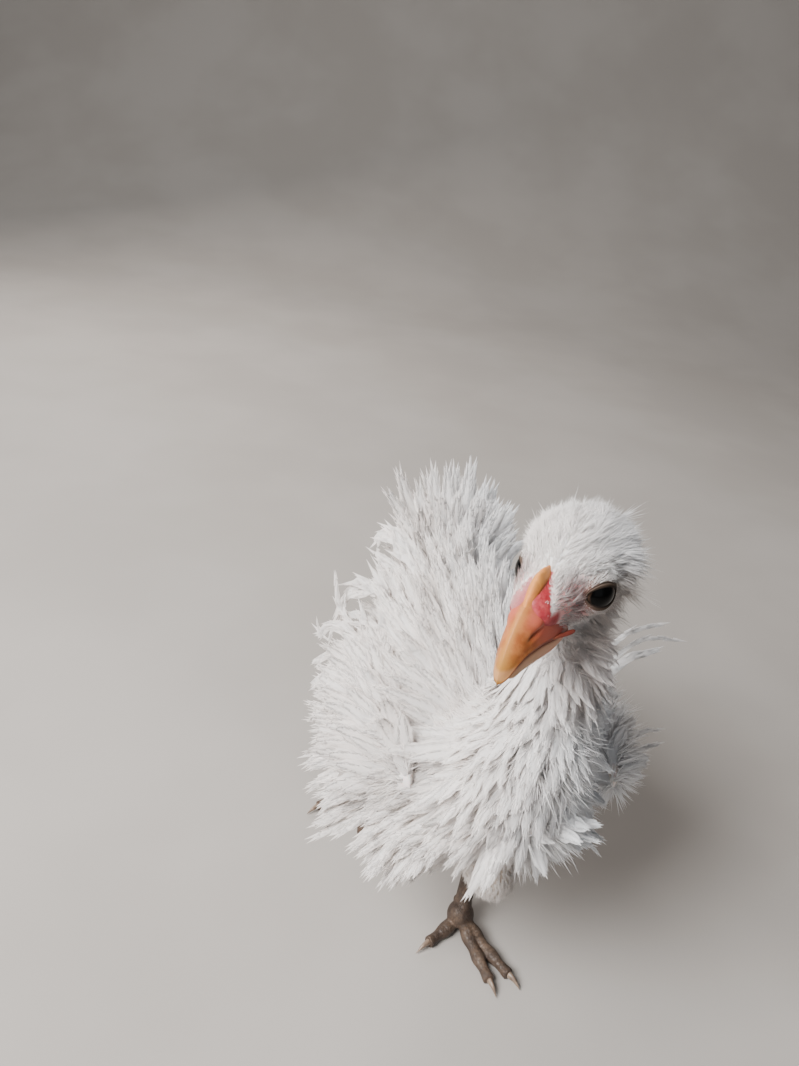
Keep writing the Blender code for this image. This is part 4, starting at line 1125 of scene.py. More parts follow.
def dome(side, radii, first, last, rings, sides, opening=None):
    """Rings on a sphere round an eye's axis, from one angle to another, oval at an opening.

    A ring at share s has the angle first + (last - first) * s off the axis. Where an opening is
    given, the ring's first angle is that of the oval, half width and half height, in that
    direction, so that rings change from the oval to round ones.
    """
    axes, centre = eye_frame(side)
    share = np.linspace(0, 1, rings)[:, None]
    around = turns(sides)[None]
    start = np.full_like(around, first)
    if opening is not None:
        turned = around - LID_TURN
        oval = 1 / np.sqrt((np.cos(turned) / opening[0]) ** 2 + (np.sin(turned) / opening[1]) ** 2)
        start = np.arcsin(oval / radii(np.zeros((1, 1)), around)[0])
    off = start + (last - start) * share
    radius = radii(share, around)
    local = np.stack([np.sin(off) * np.cos(around), np.sin(off) * np.sin(around), np.cos(off)], -1)
    return centre + (local * radius[..., None]) @ axes, share + np.zeros_like(around)


def eye_radii(share, around):
    """Distance of the eyeball's surface from its centre: a sphere with a raised cornea."""
    return EYE_RADIUS * (1 + CORNEA_RISE * clamp(1 - (share * 3.2) ** 2)) + 0 * around


def add_eye(side, look):
    """Eyeball with a slightly domed cornea."""
    rings = dome(side, eye_radii, 0.02, math.pi - 0.02, 48, 48)[0][::-1]
    axes, centre = eye_frame(side)
    front = EYE_RADIUS * (1 + CORNEA_RISE)
    points, faces = tube(rings, centre - axes[2] * EYE_RADIUS, centre + axes[2] * front)
    gaze = unit(np.array(EYE_GAZE) @ axes)
    ring = clamp(np.arccos(np.clip(unit(points - centre) @ gaze, -1, 1)) / EYE_RIM)
    hand = side_hand(side)
    add_shell(f"eyeball_{hand}", points, faces, look, "eye", [f"eye_{hand}"], ring=ring)


def lid_radii(share, around):
    """Distance of the lids' skin from the eye's centre: a turned-in rim, folds and a brow."""
    rim = 0.00030 * clamp(1 - share / 0.12) ** 2
    folds = 0.00013 * np.sin(share * LID_FOLDS) * clamp(share * 4) * clamp((1 - share) * 3)
    brow = 0.00030 * np.exp(-((share - 0.45) / 0.20) ** 2) * clamp(np.sin(around))
    return EYE_RADIUS + 0.00042 - rim + folds + brow


def outer_lids(side):
    """Rings of the lids' outer side, and the share of each from the opening to the skin."""
    return dome(side, lid_radii, 0.5, LID_END, LID_RINGS, LID_SIDES, LID_OPENING)


def inner_radii(share, around):
    """Distance of the lids' inner side from the eye's centre: just clear of the eyeball."""
    return EYE_RADIUS + 0.00006 + 0 * share * around


def lid_places(side, count, draw):
    """Random places on the outer part of the lids, with their normals."""
    rings, _ = outer_lids(side)
    p = rings[draw.integers(*LID_HAIRY, count), draw.integers(0, LID_SIDES, count)]
    return p, unit(p - eye_frame(side)[1])


def add_lids(side, look):
    """Lids: a thin dome with an oval opening, folded in ridges round it, its rim turned in."""
    outer, share = outer_lids(side)
    inner, _ = dome(side, inner_radii, 0.5, LID_END, LID_INNER_RINGS, LID_SIDES, LID_OPENING)
    rings = np.concatenate([outer, inner[::-1]])
    count, sides = rings.shape[:2]
    i, j = np.meshgrid(np.arange(count), np.arange(sides), indexing="ij")
    k = (j + 1) % sides
    nxt = (i + 1) % count
    quads = np.stack([i * sides + j, nxt * sides + j, nxt * sides + k, i * sides + k], -1).reshape(-1, 4)
    ring = np.append(share, np.linspace(0.3, 0, LID_INNER_RINGS).repeat(sides))
    name = f"eyelids_{side_hand(side)}"
    add_shell(name, rings.reshape(-1, 3), quads, look, "feather", ring=ring)


def upper_bill(look):
    """Upper bill: sections with a level lower edge and an upper side drawn up to the culmen.

    A section at forward f has half width w and height h above the mouth line. Its upper side
    is w * sign(cos a) * |cos a|^1.5 across and h * sin a up. A flap is raised over each nostril
    as a bell-shaped swelling, with a sunken slot under it, and the cutting edge stands out.
    """
    run = np.linspace(0, 1, 90)
    keyed = smooth_curve(BILL_ROWS, run)
    forward, mouth, wide, high = keyed[:, 0], keyed[:, 1], keyed[:, 2], keyed[:, 3]
    tip = np.sqrt(clamp(1 - (clamp((run - 0.90) / 0.10)) ** 2))
    wide, high = wide * tip, high * (0.35 + 0.65 * tip)
    upper = np.linspace(0, math.pi, 49)
    across = np.sign(np.cos(upper)) * np.abs(np.cos(upper)) ** 1.5
    lift = np.sin(upper)
    f = forward[:, None] + 0 * upper
    side = wide[:, None] * across
    height = high[:, None] * lift
    z = mouth[:, None] + height
    flap = np.exp(-((f - 0.0198) / 0.0026) ** 2 - ((z - 0.0006) / 0.0016) ** 2)
    slot_line = -0.0014 + (f - 0.0205) * -0.25
    slot = np.exp(-((f - 0.0208) / 0.0019) ** 2 - ((z - slot_line) / 0.00045) ** 2)
    edge = np.exp(-(height / 0.0006) ** 2)
    swell = 0.0007 * flap - 0.0011 * slot + 0.00025 * edge
    side = side + np.sign(across) * swell * clamp(np.abs(across) * 3)
    top = np.stack([f, side, z], -1)
    under = np.linspace(math.pi, 2 * math.pi, 17)[1:-1]
    palate = mouth[:, None] + 0.0010 * (-np.sin(under)) * tip[:, None]
    low = np.stack([forward[:, None] + 0 * under, wide[:, None] * np.cos(under), palate], -1)
    rings = on_head(np.concatenate([top, low], 1))
    first = on_head((forward[0], 0, mouth[0] + high[0] * 0.4))
    last = on_head((forward[-1] + 0.0004, 0, mouth[-1] - 0.0006))
    # The cutting edge and the palate get lip, which paints shade into the gap between the bills.
    dark = np.concatenate([np.exp(-(height / 0.00035) ** 2), np.ones_like(low[..., 0])], 1)
    lip = np.append(dark, (0.0, 0.0))
    add_shell("upper_bill", *tube(rings, first, last), look, "bill", ["beak_upper"], lip=lip)


def lower_bill(look):
    """Lower bill: half an ellipse below the mouth line, with a rounded keel and a short tip."""
    run = np.linspace(0, 0.90, 70)
    keyed = smooth_curve(BILL_ROWS, run)
    forward, mouth, wide, low = keyed[:, 0], keyed[:, 1], keyed[:, 2] * 1.04, keyed[:, 4]
    tip = np.sqrt(clamp(1 - (clamp((run - 0.78) / 0.12)) ** 2))
    angle = np.linspace(0, 2 * math.pi, 48, endpoint=False)
    across = (wide * tip)[:, None] * np.sign(np.cos(angle)) * np.abs(np.cos(angle)) ** 0.45
    depth = np.where(np.sin(angle) < 0, low[:, None], 0.0004) * np.sin(angle) * tip[:, None]
    rings = on_head(np.stack([forward[:, None] + 0 * angle, across, mouth[:, None] - 0.0003 + depth], -1))
    first = on_head((forward[0], 0, mouth[0] - 0.002))
    last = on_head((forward[-1], 0, mouth[-1] - 0.0003))
    # lip along the lower bill's upper edge paints shade into the gap between the bills.
    lip = np.append(np.exp(-(np.minimum(depth, 0) / 0.0005) ** 2), (0.0, 0.0))
    shell = tube(rings, first, last)
    add_shell("lower_bill", *shell, look, "bill", ["beak_lower"], lip=lip, pale=np.ones(len(lip)))


# The left gape fold's path, from the bill back: forward, left and up in head axes.
GAPE_PATH = (
    (0.0160, 0.0050, -0.0058),
    (0.0130, 0.0060, -0.0066),
    (0.0102, 0.0069, -0.0073),
    (0.0076, 0.0075, -0.0080),
)


def gape_folds(look):
    """The soft fold at each corner of the mouth: a bent ridge that thickens, then rounds off."""
    pieces = []
    for side in (1, -1):
        run = np.linspace(0, 1, 24)
        centre = on_head(smooth_curve(np.array(GAPE_PATH) * (1, side, 1), run))
        along = unit(np.gradient(centre, axis=0))
        out = unit(np.cross(along, HEAD[2])) * -side
        lift = np.cross(out, along)
        radius = 0.00042 + 0.00030 * run**2
        radius = radius * np.sqrt(np.clip(1 - ((run - 0.70) / 0.30).clip(0) ** 2, 0.02, 1))
        angle = turns(16)
        across, high = radius[:, None] * np.cos(angle), radius[:, None] * np.sin(angle)
        rings = hoops(centre, out[:, None], lift[:, None], across, high)
        pieces.append(tube(rings, centre[0], centre[-1] + along[-1] * 0.0004))
    add_shell("gape_folds", *joined(pieces), look, "comb")


def comb_ridge(look):
    """The young comb: a low ridge on the culmen with small rounded points, thick at its foot."""
    run = np.linspace(0, 1, 90)
    forward = 0.0070 + 0.0140 * run
    keyed = smooth_curve(BILL_ROWS, (forward - BILL_ROWS[0][0]) / (BILL_ROWS[-1][0] - BILL_ROWS[0][0]))
    foot = keyed[:, 1] + keyed[:, 3] - 0.0012
    crest = 0.0024 * np.sin(math.pi * clamp(run * 0.94 + 0.06)) ** 0.6
    crest = crest * (0.90 + 0.10 * np.abs(np.cos(math.pi * 4.5 * run)))
    angle = np.linspace(0, 2 * math.pi, 28, endpoint=False)
    high = np.where(np.sin(angle) > 0, crest[:, None], 0.0006) * np.sin(angle)
    swell = np.sin(math.pi * np.clip(run, 0.03, 0.97)) ** 0.4 * (1.15 - 0.35 * run)
    thick = 0.0016 * (1 - 0.35 * clamp(np.sin(angle))) * np.cos(angle) * swell[:, None]
    rings = on_head(np.stack([forward[:, None] + 0 * angle, thick, foot[:, None] + 0.0002 + high], -1))
    first = on_head((forward[0], 0, foot[0]))
    last = on_head((forward[-1], 0, foot[-1]))
    add_shell("comb_ridge", *tube(rings, first, last), look, "comb", ["comb"])


# Legs

def toe_path(ball_at, heading, length):
    """Points along a toe that comes down from the ball to lie on the floor, and its heading."""
    turn = math.radians(heading)
    ahead = np.array((math.sin(turn), -math.cos(turn), 0.0))
    share = np.linspace(0, 1, 5)
    drop = (BALL_HEIGHT - TOE_AXIS_HEIGHT) * clamp(share * 1.8) ** 0.8
    return ball_at + ahead * (share * length)[:, None] - UP * drop[:, None], ahead


def plates(share, count, lap=0.85):
    """A saw that rises along each plate and drops at its end, 0 to 1."""
    phase = share * count % 1
    return np.where(phase < lap, phase / lap, 1 - (phase - lap) / (1 - lap))


def toe_mesh(ball_at, name, heading, length):
    """A toe: joints swell, pads bulge below them, and plates step down along its top."""
    path, ahead = toe_path(ball_at, heading, length)
    share = np.linspace(0, 1, max(30, int(length * 5200)))
    joints = np.cos(2 * math.pi * TOE_JOINTS[name] * share)
    radius = TOE_RADIUS * (1.12 - 0.40 * share) * (1 + 0.11 * joints)
    angle = turns(28)
    centre = smooth_curve(path, share)
    lift = 0.00032 * plates(share, length / TOE_PLATE)[:, None] * clamp(np.sin(angle)) ** 0.5
    pad = 0.0003 * clamp(joints)[:, None] * clamp(-np.sin(angle))
    across = radius[:, None] * np.cos(angle)
    high = (radius[:, None] * 0.92 + lift + pad) * np.sin(angle)
    rings = hoops(centre, np.cross(UP, ahead), UP, across, high)
    return tube(rings, centre[0], centre[-1] + ahead * 0.0006)


def shank_mesh(hock, ball_at):
    """The shank: oval, wider at both joints, with a row of overlapping plates down its front."""
    axis = unit(ball_at - hock)
    front = unit(np.array((0, -1.0, 0)) + axis * axis[1])
    side = np.cross(axis, front)
    start, end = hock - axis * 0.004, ball_at + axis * 0.001
    share = np.linspace(0, 1, 260)
    radius = SHANK_RADIUS * (1 + 0.34 * (2 * share - 1) ** 4)
    angle = turns(36)
    plate = plates(share, SHANK_PLATES)[:, None]
    lift = SHANK_PLATE_RISE * plate * clamp(np.cos(angle) * 1.3) ** 0.6
    back = 0.0004 * clamp(-np.cos(angle)) ** 3
    ahead = (radius[:, None] * 1.12 + lift + back) * np.cos(angle)
    across = (radius[:, None] * 0.94 + lift * 0.7) * np.sin(angle)
    centre = start + (end - start) * share[:, None]
    return tube(hoops(centre, front, side, ahead, across), start, end)


def add_claw(name, toe, ball_at, heading, length, look):
    """A claw at a toe's end: tapered rings round a path that rises, then bends to the floor."""
    path, ahead = toe_path(ball_at, heading, length)
    share = np.linspace(0, 1, 26)
    rise = CLAW_RADIUS * (0.45 * np.sin(math.pi * share) - 0.85 * share**2)
    start = path[-1] - ahead * 0.0006
    centre = start + ahead * (share * (CLAW_LENGTH + 0.0009))[:, None] + UP * rise[:, None]
    radius = (CLAW_RADIUS * (1 - share**1.5 * 0.93))[:, None]
    angle = turns(18)
    side = np.cross(UP, ahead)
    rings = hoops(centre, side, UP, 0.78 * np.cos(angle) * radius, np.sin(angle) * radius)
    rings[..., 2] = np.maximum(rings[..., 2], 0.00005)
    shell = tube(rings, centre[0] - ahead * 0.0004, centre[-1] + ahead * 0.0002)
    add_shell(f"claw_{name}_{toe}_horn", *shell, look, "claw", [f"claw_{name}_{toe}"])


def add_leg(name, hock, ball_at, toes, look, claw_look):
    """One closed skin over shank, ball and toes, flat where it rests, and the claws."""
    pad = [(*(ball_at + UP * height), *[BALL_PAD_RADIUS] * 3) for height in BALL_PAD_HEIGHTS]
    pieces = [shank_mesh(hock, ball_at), Form(pad, (0, 1, 0), (0.5, 0.5)).mesh(24, 28)]
    pieces += [toe_mesh(ball_at, toe, *toes[toe]) for toe in toes]
    points, quads = fused(*joined(pieces), 0.00030, 1)
    points[:, 2] = np.maximum(points[:, 2], 0.0)
    add_piece(f"leg_{name}", mesh_of("leg", points, quads), look, [f"shank_{name}", f"foot_{name}"])
    for toe, sizes in toes.items():
        add_claw(name, toe, ball_at, *sizes, claw_look)


# Plumage

# The lowest level of a feather's root and of its tip, and the middle of the parting on the keel.
LOWEST_ROOT = 0.043
LOWEST_TIP = 0.044
PARTING_SIDE = -0.005


def chart_of(form, points):
    """Place of points on the unwrap of a form: run along it and angle round it, 0 to 1."""
    _, run, angle = form.nearest(points)
    return np.stack([run, angle / (2 * math.pi) + 0.5], 1)


def keel_cover(points):
    """How far points lie from the opening over the keel's lobe: 1 on its rim, as seen through it."""
    return np.linalg.norm((points - KEEL_OPENING) @ KEEL_WAYS.T / KEEL_HALF, axis=1)


def trunk_feathers(p, n, draw):
    """Lie, length, width, rise, curl and bend of the trunk's feathers at skin places."""
    x, y, z = p.T
    run = clamp((y + 0.047) / 0.101)
    upper = np.maximum(n[:, 2], 0)
    front = clamp(1 - run / 0.45)
    slope = draw.normal(0, 0.10, len(p)) - 0.9 * (1 - run) - 0.5 * front + 0.5 * upper
    aside = draw.normal(0, 0.10, len(p)) + 0.20 * drift(p, 0.030, draw)
    lie = np.stack([aside, 1 - 0.65 * front, slope], 1)
    length = (0.0250 - 0.0040 * upper * (1 - run) + 0.0030 * upper * run) * draw.uniform(0.78, 1.08, len(p))
    length *= 1 - 0.30 * np.maximum(-n[:, 1], 0) * (1 - upper) - 0.22 * np.maximum(n[:, 0], 0)
    # A furrow runs down the breast, left of the middle, and the feathers lean away from it.
    from_furrow = np.abs(x - FURROW_SIDE + FURROW_LEAN * (z - FURROW_LEVEL))
    furrow = clamp(1 - from_furrow / 0.011) * (y < -0.020)
    lie[:, 0] += np.sign(x - FURROW_SIDE) * 0.75 * furrow
    length *= 1 - 0.30 * furrow
    # Low on the right breast they hang.
    hang = clamp((0.088 - z) / 0.015) * (y < 0.0) * (x < 0)
    lie[:, 2] -= 1.8 * hang
    length *= 1 + (0.36 + 0.18 * (x < -0.010)) * hang
    # Round the bare keel the feathers part, and end above it.
    under = z < 0.090
    across = x - PARTING_SIDE
    parting = np.hypot(across / 0.024, (y + 0.042) / 0.028)
    lie[:, 0] += np.sign(across) * 1.2 * clamp(1.1 - parting) * under
    length = length * np.where(under, np.clip(parting, 0.42, 1), 1)
    gap = clamp(1.3 - np.abs(across) / 0.0085) * under * (y < -0.018)
    lie[:, 0] += np.sign(across) * 1.5 * gap
    length = np.clip(length * (1 - 0.62 * gap), 0.003, np.maximum((z - LOWEST_TIP) * 1.25, 0.005))
    # They lie closer on the left side, and stand and curl more on the saddle.
    close = 1 - 0.45 * clamp(n[:, 0] * 1.4)
    saddle = clamp(upper * 1.6) * clamp((run - 0.35) / 0.3) * clamp((x + 0.031) / 0.012)
    length *= 1 + 0.30 * saddle
    rise = (35 - 8 * upper * (1 - run) + 10 * saddle + 11 * hang + draw.normal(0, 3, len(p))) * close
    curl = rise + (24 + 20 * run) * close + 12 * drift(p, 0.020, draw) + draw.normal(0, 8, len(p))
    bend = 14 * drift(p, 0.022, draw) + draw.normal(0, 7, len(p))
    # None hangs across the keel's lobe.
    pitch = np.radians(rise + 0.47 * (curl - rise))[:, None]
    way = along_skin(lie, n) * np.cos(pitch) + n * np.sin(pitch)
    for share in (0.6, 1.0, 0.6, 1.0):
        over = keel_cover(p + way * (length * share)[:, None])
        length = length * (1 - 0.55 * clamp((1.45 - over) / 0.45) * (y < -0.005))
    width = (0.0046 + 0.0024 * saddle) * draw.uniform(0.75, 1.2, len(p))
    return lie, length, width, rise, curl, bend


def neck_feathers(p, n, draw):
    """Hackles: they lie down the neck and are shorter towards the head."""
    _, run, _ = NECK.nearest(p)
    lie = -path_direction(NECK.rows, run)
    length = (0.0215 - 0.0130 * run) * draw.uniform(0.75, 1.10, len(p))
    loose = clamp((n[:, 0] + n[:, 1]) * 0.8)
    length = length + 0.0030 * loose * run
    rise = 14 - 5 * run + 14 * loose + draw.normal(0, 3, len(p))
    curl = 32 - 14 * run + 22 * loose + 10 * drift(p, 0.020, draw) + draw.normal(0, 8, len(p))
    bend = 14 * drift(p, 0.018, draw) + draw.normal(0, 9, len(p))
    return lie, length, (0.0052 - 0.0034 * run) * draw.uniform(0.8, 1.15, len(p)), rise, curl, bend


def wing_feathers(p, n, draw):
    """Coverts: they lie back along the wing, lower ones dropping."""
    slope = draw.normal(0, 0.08, len(p)) - 0.25 + 0.25 * n[:, 2]
    lie = np.stack([draw.normal(0, 0.10, len(p)), np.ones(len(p)), slope], 1)
    close = np.where(p[:, 0] > 0, 0.45, 1.0)
    length = 0.0195 * draw.uniform(0.78, 1.10, len(p)) * (0.4 + 0.6 * close)
    rise = (26 + draw.normal(0, 4, len(p))) * close
    curl = rise + 44 * close + 12 * drift(p, 0.020, draw) + draw.normal(0, 8, len(p))
    bend = 14 * drift(p, 0.020, draw) + draw.normal(0, 7, len(p))
    return lie, length, draw.uniform(0.0050, 0.0070, len(p)), rise, curl, bend


def thigh_feathers(p, n, draw):
    """Short feathers down the drumsticks."""
    lie = np.where((p[:, 0] > 0)[:, None], LEFT_HOCK - p, RIGHT_HOCK - p)
    length = 0.0125 * draw.uniform(0.75, 1.1, len(p)) * np.clip((p[:, 2] - 0.042) / 0.012, 0.35, 1)
    rise = 16 + draw.normal(0, 4, len(p))
    curl = rise + 32 + draw.normal(0, 12, len(p))
    return lie, length, draw.uniform(0.0038, 0.0050, len(p)), rise, curl, draw.normal(0, 12, len(p))


def tail_root_feathers(p, n, draw):
    """Feathers over the root of the tail."""
    lie = path_direction(TAIL.rows, TAIL.nearest(p)[1]) + draw.normal(0, 0.15, (len(p), 3))
    length = 0.019 * draw.uniform(0.8, 1.1, len(p))
    rise = 24 + draw.normal(0, 5, len(p))
    return lie, length, draw.uniform(0.005, 0.007, len(p)), rise, rise + 44, draw.normal(0, 16, len(p))


# Regions: the forms that make it, feather spacing, loose barbs, and its rule.
REGIONS = {
    "neck": (("neck",), 0.0017, 12, neck_feathers),
    "wings": (("wing_left", "wing_right"), 0.0025, 18, wing_feathers),
    "thighs": (("thigh_left", "thigh_right"), 0.0020, 12, thigh_feathers),
    "rump": (("tail",), 0.0026, 18, tail_root_feathers),
}

# Long narrow curls at the right wing and the back, and loose ones on the left side: width of
# each, then its path in millimetres from its root on the body.
LONG_CURLS = (
    (5.5, (-20, 20, 114), (-23.3, 33, 130.3), (-26.9, 40, 134.5), (-30.1, 45, 135.6),
     (-33.2, 49, 132.9), (-35.6, 51, 128.8)),
    (4.6, (-22, 22, 111), (-24.0, 33, 122.6), (-27.4, 39, 123.5), (-31.2, 45, 124.0), (-35.2, 49, 125.5)),
    (3.8, (-34, 24, 98), (-32, 36, 115), (-35.9, 42, 115), (-39.5, 47, 113.6),
     (-42.5, 50, 107.2), (-44.8, 51, 100.7), (-44.4, 50, 95.6)),
    (2.6, (-35, 26, 96), (-38.8, 38, 104.9), (-43.4, 43, 102.5), (-46.6, 47, 105.2), (-47.7, 50, 113.1)),
    (3.0, (-35, 28, 94), (-41.6, 38, 97.9), (-45.6, 42, 98.3), (-49.4, 46, 94.8),
     (-51.7, 48, 89.2), (-52.2, 50, 92.3)),
    (3.0, (-34, 30, 90), (-41.7, 38, 91.6), (-46.1, 42, 87.5), (-49.8, 46, 81.5), (-53.8, 48, 76.6)),
    (4.0, (-33, 31, 88), (-43.0, 36, 84.1), (-47.7, 40, 78.9), (-51.4, 44, 71.8), (-53.3, 46, 68.1)),
    (4.4, (-20, 26, 112), (-18.4, 34, 115.9), (-20.4, 40, 111.7), (-23.7, 45, 109.9), (-27.0, 49, 108.4)),
    (1.7, (33, 8, 104), (42.9, 10, 118.2), (51.0, 14, 119.5), (57.9, 17, 119.0), (61.3, 18, 118.8)),
    (1.7, (34, 6, 102), (45.7, 10, 113.2), (54.0, 14, 115.3), (63.1, 17, 114.0), (69.0, 18, 112.3)),
    (3.0, (34, 4, 100), (46.9, 8, 111.4), (54.5, 11, 111.7), (61.1, 13, 112.3)),
    (1.9, (36, -4, 96), (51.0, -2, 87.1), (58.1, 1, 86.1), (65.3, 4, 83.6)),
    (2.0, (36, -6, 94), (51.1, -4, 81.2), (59.9, 0, 79.5), (67.0, 3, 77.9)),
)
# The way that the long curls' flat sides face.
CURL_FACING = (-0.35, -0.75, 0.55)


# Rows of flight feathers: angle round the wing, first and last share of its run, count, length,
# drop of the lie, and rise.
FLIGHT_ROWS = (
    (-62, 0.60, 0.98, 9, 0.0360, 0.35, 10),
    (-66, 0.20, 0.58, 8, 0.0310, 0.70, 14),
)
# Tiers of the tail, coverts last: height over and place behind its middle, count, half fan in
# degrees, length, width, curl, and 1 where they curl up or -1 where they curl down.
TAIL_TIERS = (
    (0.0010, 0.0060, 8, 30, 0.0450, 0.0095, 36, 1),
    (-0.0020, 0.0070, 7, 26, 0.0480, 0.0095, 30, 1),
    (0.0035, 0.0020, 10, 38, 0.0360, 0.0085, 50, 1),
    (0.0040, -0.0010, 11, 44, 0.0300, 0.0080, 58, 1),
    (0.0050, -0.0050, 12, 50, 0.0250, 0.0075, 62, 1),
    (-0.0060, 0.0000, 9, 46, 0.0250, 0.0075, 50, -1),
    (-0.0065, -0.0040, 8, 50, 0.0190, 0.0070, 46, -1),
)


def columns(sites):
    """A list of feathers as one array for each of their values."""
    return [np.array(column, float) for column in zip(*sites)]


def flight_sites(side, draw):
    """Flight feathers in two rows along the wing's lower edge, closer to it on the left."""
    form = WINGS[side]
    sites = []
    for angle, first, last, count, length, drop, rise in FLIGHT_ROWS:
        for run in np.linspace(first, last, count):
            root, out = form.place(run, math.radians(angle if side > 0 else 180 - angle))
            lie = np.array((0.0, 1.0, -drop + draw.normal(0, 0.05)))
            near = rise * (0.5 if side > 0 else 1.0)
            curl = near + 50 + draw.normal(0, 8)
            long = length * draw.uniform(0.90, 1.04)
            sites.append((root, lie, out, long, 0.0076, near, curl, draw.normal(0, 12)))
    return columns(sites)


def curl_shafts(steps, draw):
    """Shafts and widths of the long curls: smooth curves by their paths.

    Those of the right wing and the back have two thinner ones close by, and left ones have none.
    """
    lines, widths = [], []
    for width, *path in LONG_CURLS:
        for copy in range(1 if path[0][0] > 0 else 3):
            keys = np.array(path, float) / 1000
            keys[1:] += draw.normal(0, 0.0006 * copy, (len(keys) - 1, 3))
            keys[1:] += (keys[0] - keys[1:]) * 0.12 * copy * draw.random()
            lines.append(smooth_curve(keys, np.linspace(0, 1, steps + 1)))
            widths.append(width / 1000 * (1 - 0.25 * copy))
    line = np.array(lines)
    heading = unit(np.gradient(line, axis=1))
    across = unit(np.cross(heading, CURL_FACING))
    return (line, heading, across, np.cross(across, heading)), np.array(widths)


def tail_sites(draw):
    """A fan of tail feathers in tiers, with coverts above and below, shorter on the left."""
    back = path_direction(TAIL.rows, np.array((0.8,)))[0]
    up = np.cross((1.0, 0, 0), back)
    middle = np.array(TAIL_ROWS[1][:3])
    left = np.array((1.0, 0.0, 0.0))
    sites = []
    for height, behind, count, fan, length, width, curl, upward in TAIL_TIERS:
        for angle in np.radians(np.linspace(-fan, fan, count)):
            ahead, aside = math.cos(angle), math.sin(angle)
            lie = back * ahead + left * aside
            root = middle + up * height + back * behind * ahead + left * 0.010 * aside
            shorter = 1 - 0.18 * abs(aside) - 0.28 * max(aside, 0)
            long = length * draw.uniform(0.86, 1.02) * shorter
            curled = curl + draw.normal(0, 8)
            sites.append((root, lie, up * upward, long, width, 4, curled, draw.normal(0, 10)))
    return columns(sites)


class Coat:
    """The skin that the plumage grows from, masks of its parts, and the looks and draws for it."""

    def __init__(self, skin, looks, draw):
        self.skin, self.looks, self.draw = skin, looks, draw
        points, normals, _ = skin
        x, y, z = points.T
        self.owner = np.stack([form.nearest(points)[0] for form in FORMS.values()]).argmin(0)
        self.body = z > LOWEST_ROOT
        self.lobe = (keel_cover(points) < 1.25) & (normals[:, 1] < 0.3) & (z < 0.085)
        self.lobe |= KEEL.nearest(points)[0] < -0.0005
        flat = (normals[:, 2] < -0.75) & (np.abs(y + 0.005) < 0.035) & (z < 0.070) & (np.abs(x) < 0.02)
        self.keel = flat | self.lobe

    def on(self, *forms):
        """Which points of the skin lie nearest to one of the named forms."""
        return np.isin(self.owner, [list(FORMS).index(form) for form in forms])

    def roots(self, wanted, spacing):
        """Random places on the wanted part of the skin, with their normals."""
        return spread(self.skin, wanted, spacing, self.draw)

    def feathers(self, name, sites, steps, loose, fray, chart, look="plumage"):
        """A piece of feathers that stand at sites."""
        made = vanes(shafts(sites, steps), sites[4], loose, fray, self.draw)
        coat_piece(name, made, chart, self.looks[look], self.draw)

    def tufts(self, name, form, p, n, lie, length, rise, strands, fan, thickness, sink=0.0, look="head_down"):
        """A piece of down: tufts at places p, sunk a little into the skin."""
        made = down(p - n * sink, lie, n, length, rise, strands, fan, thickness, self.draw)
        coat_piece(name, made, chart_of(form, p), self.looks[look], self.draw)


# Size and pull of the feathers' tufts, on the trunk and elsewhere.
TRUNK_TUFTS = (0.0085, 0.42)
OTHER_TUFTS = (0.0065, 0.40)


def dress_regions(coat):
    """Feathers of neck, wings, thighs and rump, each by its own rule.

    Where two forms make a region, each has half of the unwrap.
    """
    for region, (forms, spacing, loose, rule) in REGIONS.items():
        p, n = coat.roots(coat.on(*forms) & coat.body, spacing)
        chart = np.zeros((len(p), 2))
        for place, form in enumerate(forms):
            mine = np.ones(len(p), bool) if len(forms) == 1 else (p[:, 0] > 0) == (place == 0)
            chart[mine] = chart_of(FORMS[form], p[mine])
            chart[mine, 0] = (chart[mine, 0] + place) / len(forms)
        lie, *rest = rule(p, n, coat.draw)
        sites = gathered(p, lie, n, *rest, *OTHER_TUFTS, coat.draw)
        coat.feathers(f"feathers_{region}", sites, 6, loose, 0.60, chart)


def dress_trunk(coat):
    """The trunk's feathers, cut into four pieces along its run."""
    p, n = coat.roots(coat.on("trunk") & ~coat.keel, 0.0025)
    chart = chart_of(TRUNK, p)
    lie, *rest = trunk_feathers(p, n, coat.draw)
    sites = gathered(p, lie, n, *rest, *TRUNK_TUFTS, coat.draw)
    part = np.minimum((chart[:, 0] * 4).astype(int), 3)
    for k, label in enumerate(("breast", "shoulders", "flanks", "saddle")):
        mine = part == k
        loose, fray = (12, 0.35) if label == "saddle" else (18, 0.60)
        here = [value[mine] for value in sites]
        coat.feathers(f"feathers_{label}", here, 7, loose, fray, chart[mine])


def add_long_feathers(coat):
    """Flight feathers of both wings, the tail, and the long loose curls."""
    for side in (1, -1):
        sites = flight_sites(side, coat.draw)
        chart = chart_of(WINGS[side], sites[0])
        coat.feathers(f"flight_feathers_{side_hand(side)}", sites, 12, 34, 0.50, chart)
    sites = tail_sites(coat.draw)
    coat.feathers("tail_feathers", sites, 14, 40, 0.50, chart_of(TAIL, sites[0]))
    shaft, widths = curl_shafts(16, coat.draw)
    made = vanes(shaft, widths, 8, 0.20, coat.draw, FINGER_SPREAD, CURL_BARB_ANGLE)
    coat_piece("long_curls", made, chart_of(TRUNK, shaft[0][:, 0]), coat.looks["plumage"], coat.draw)


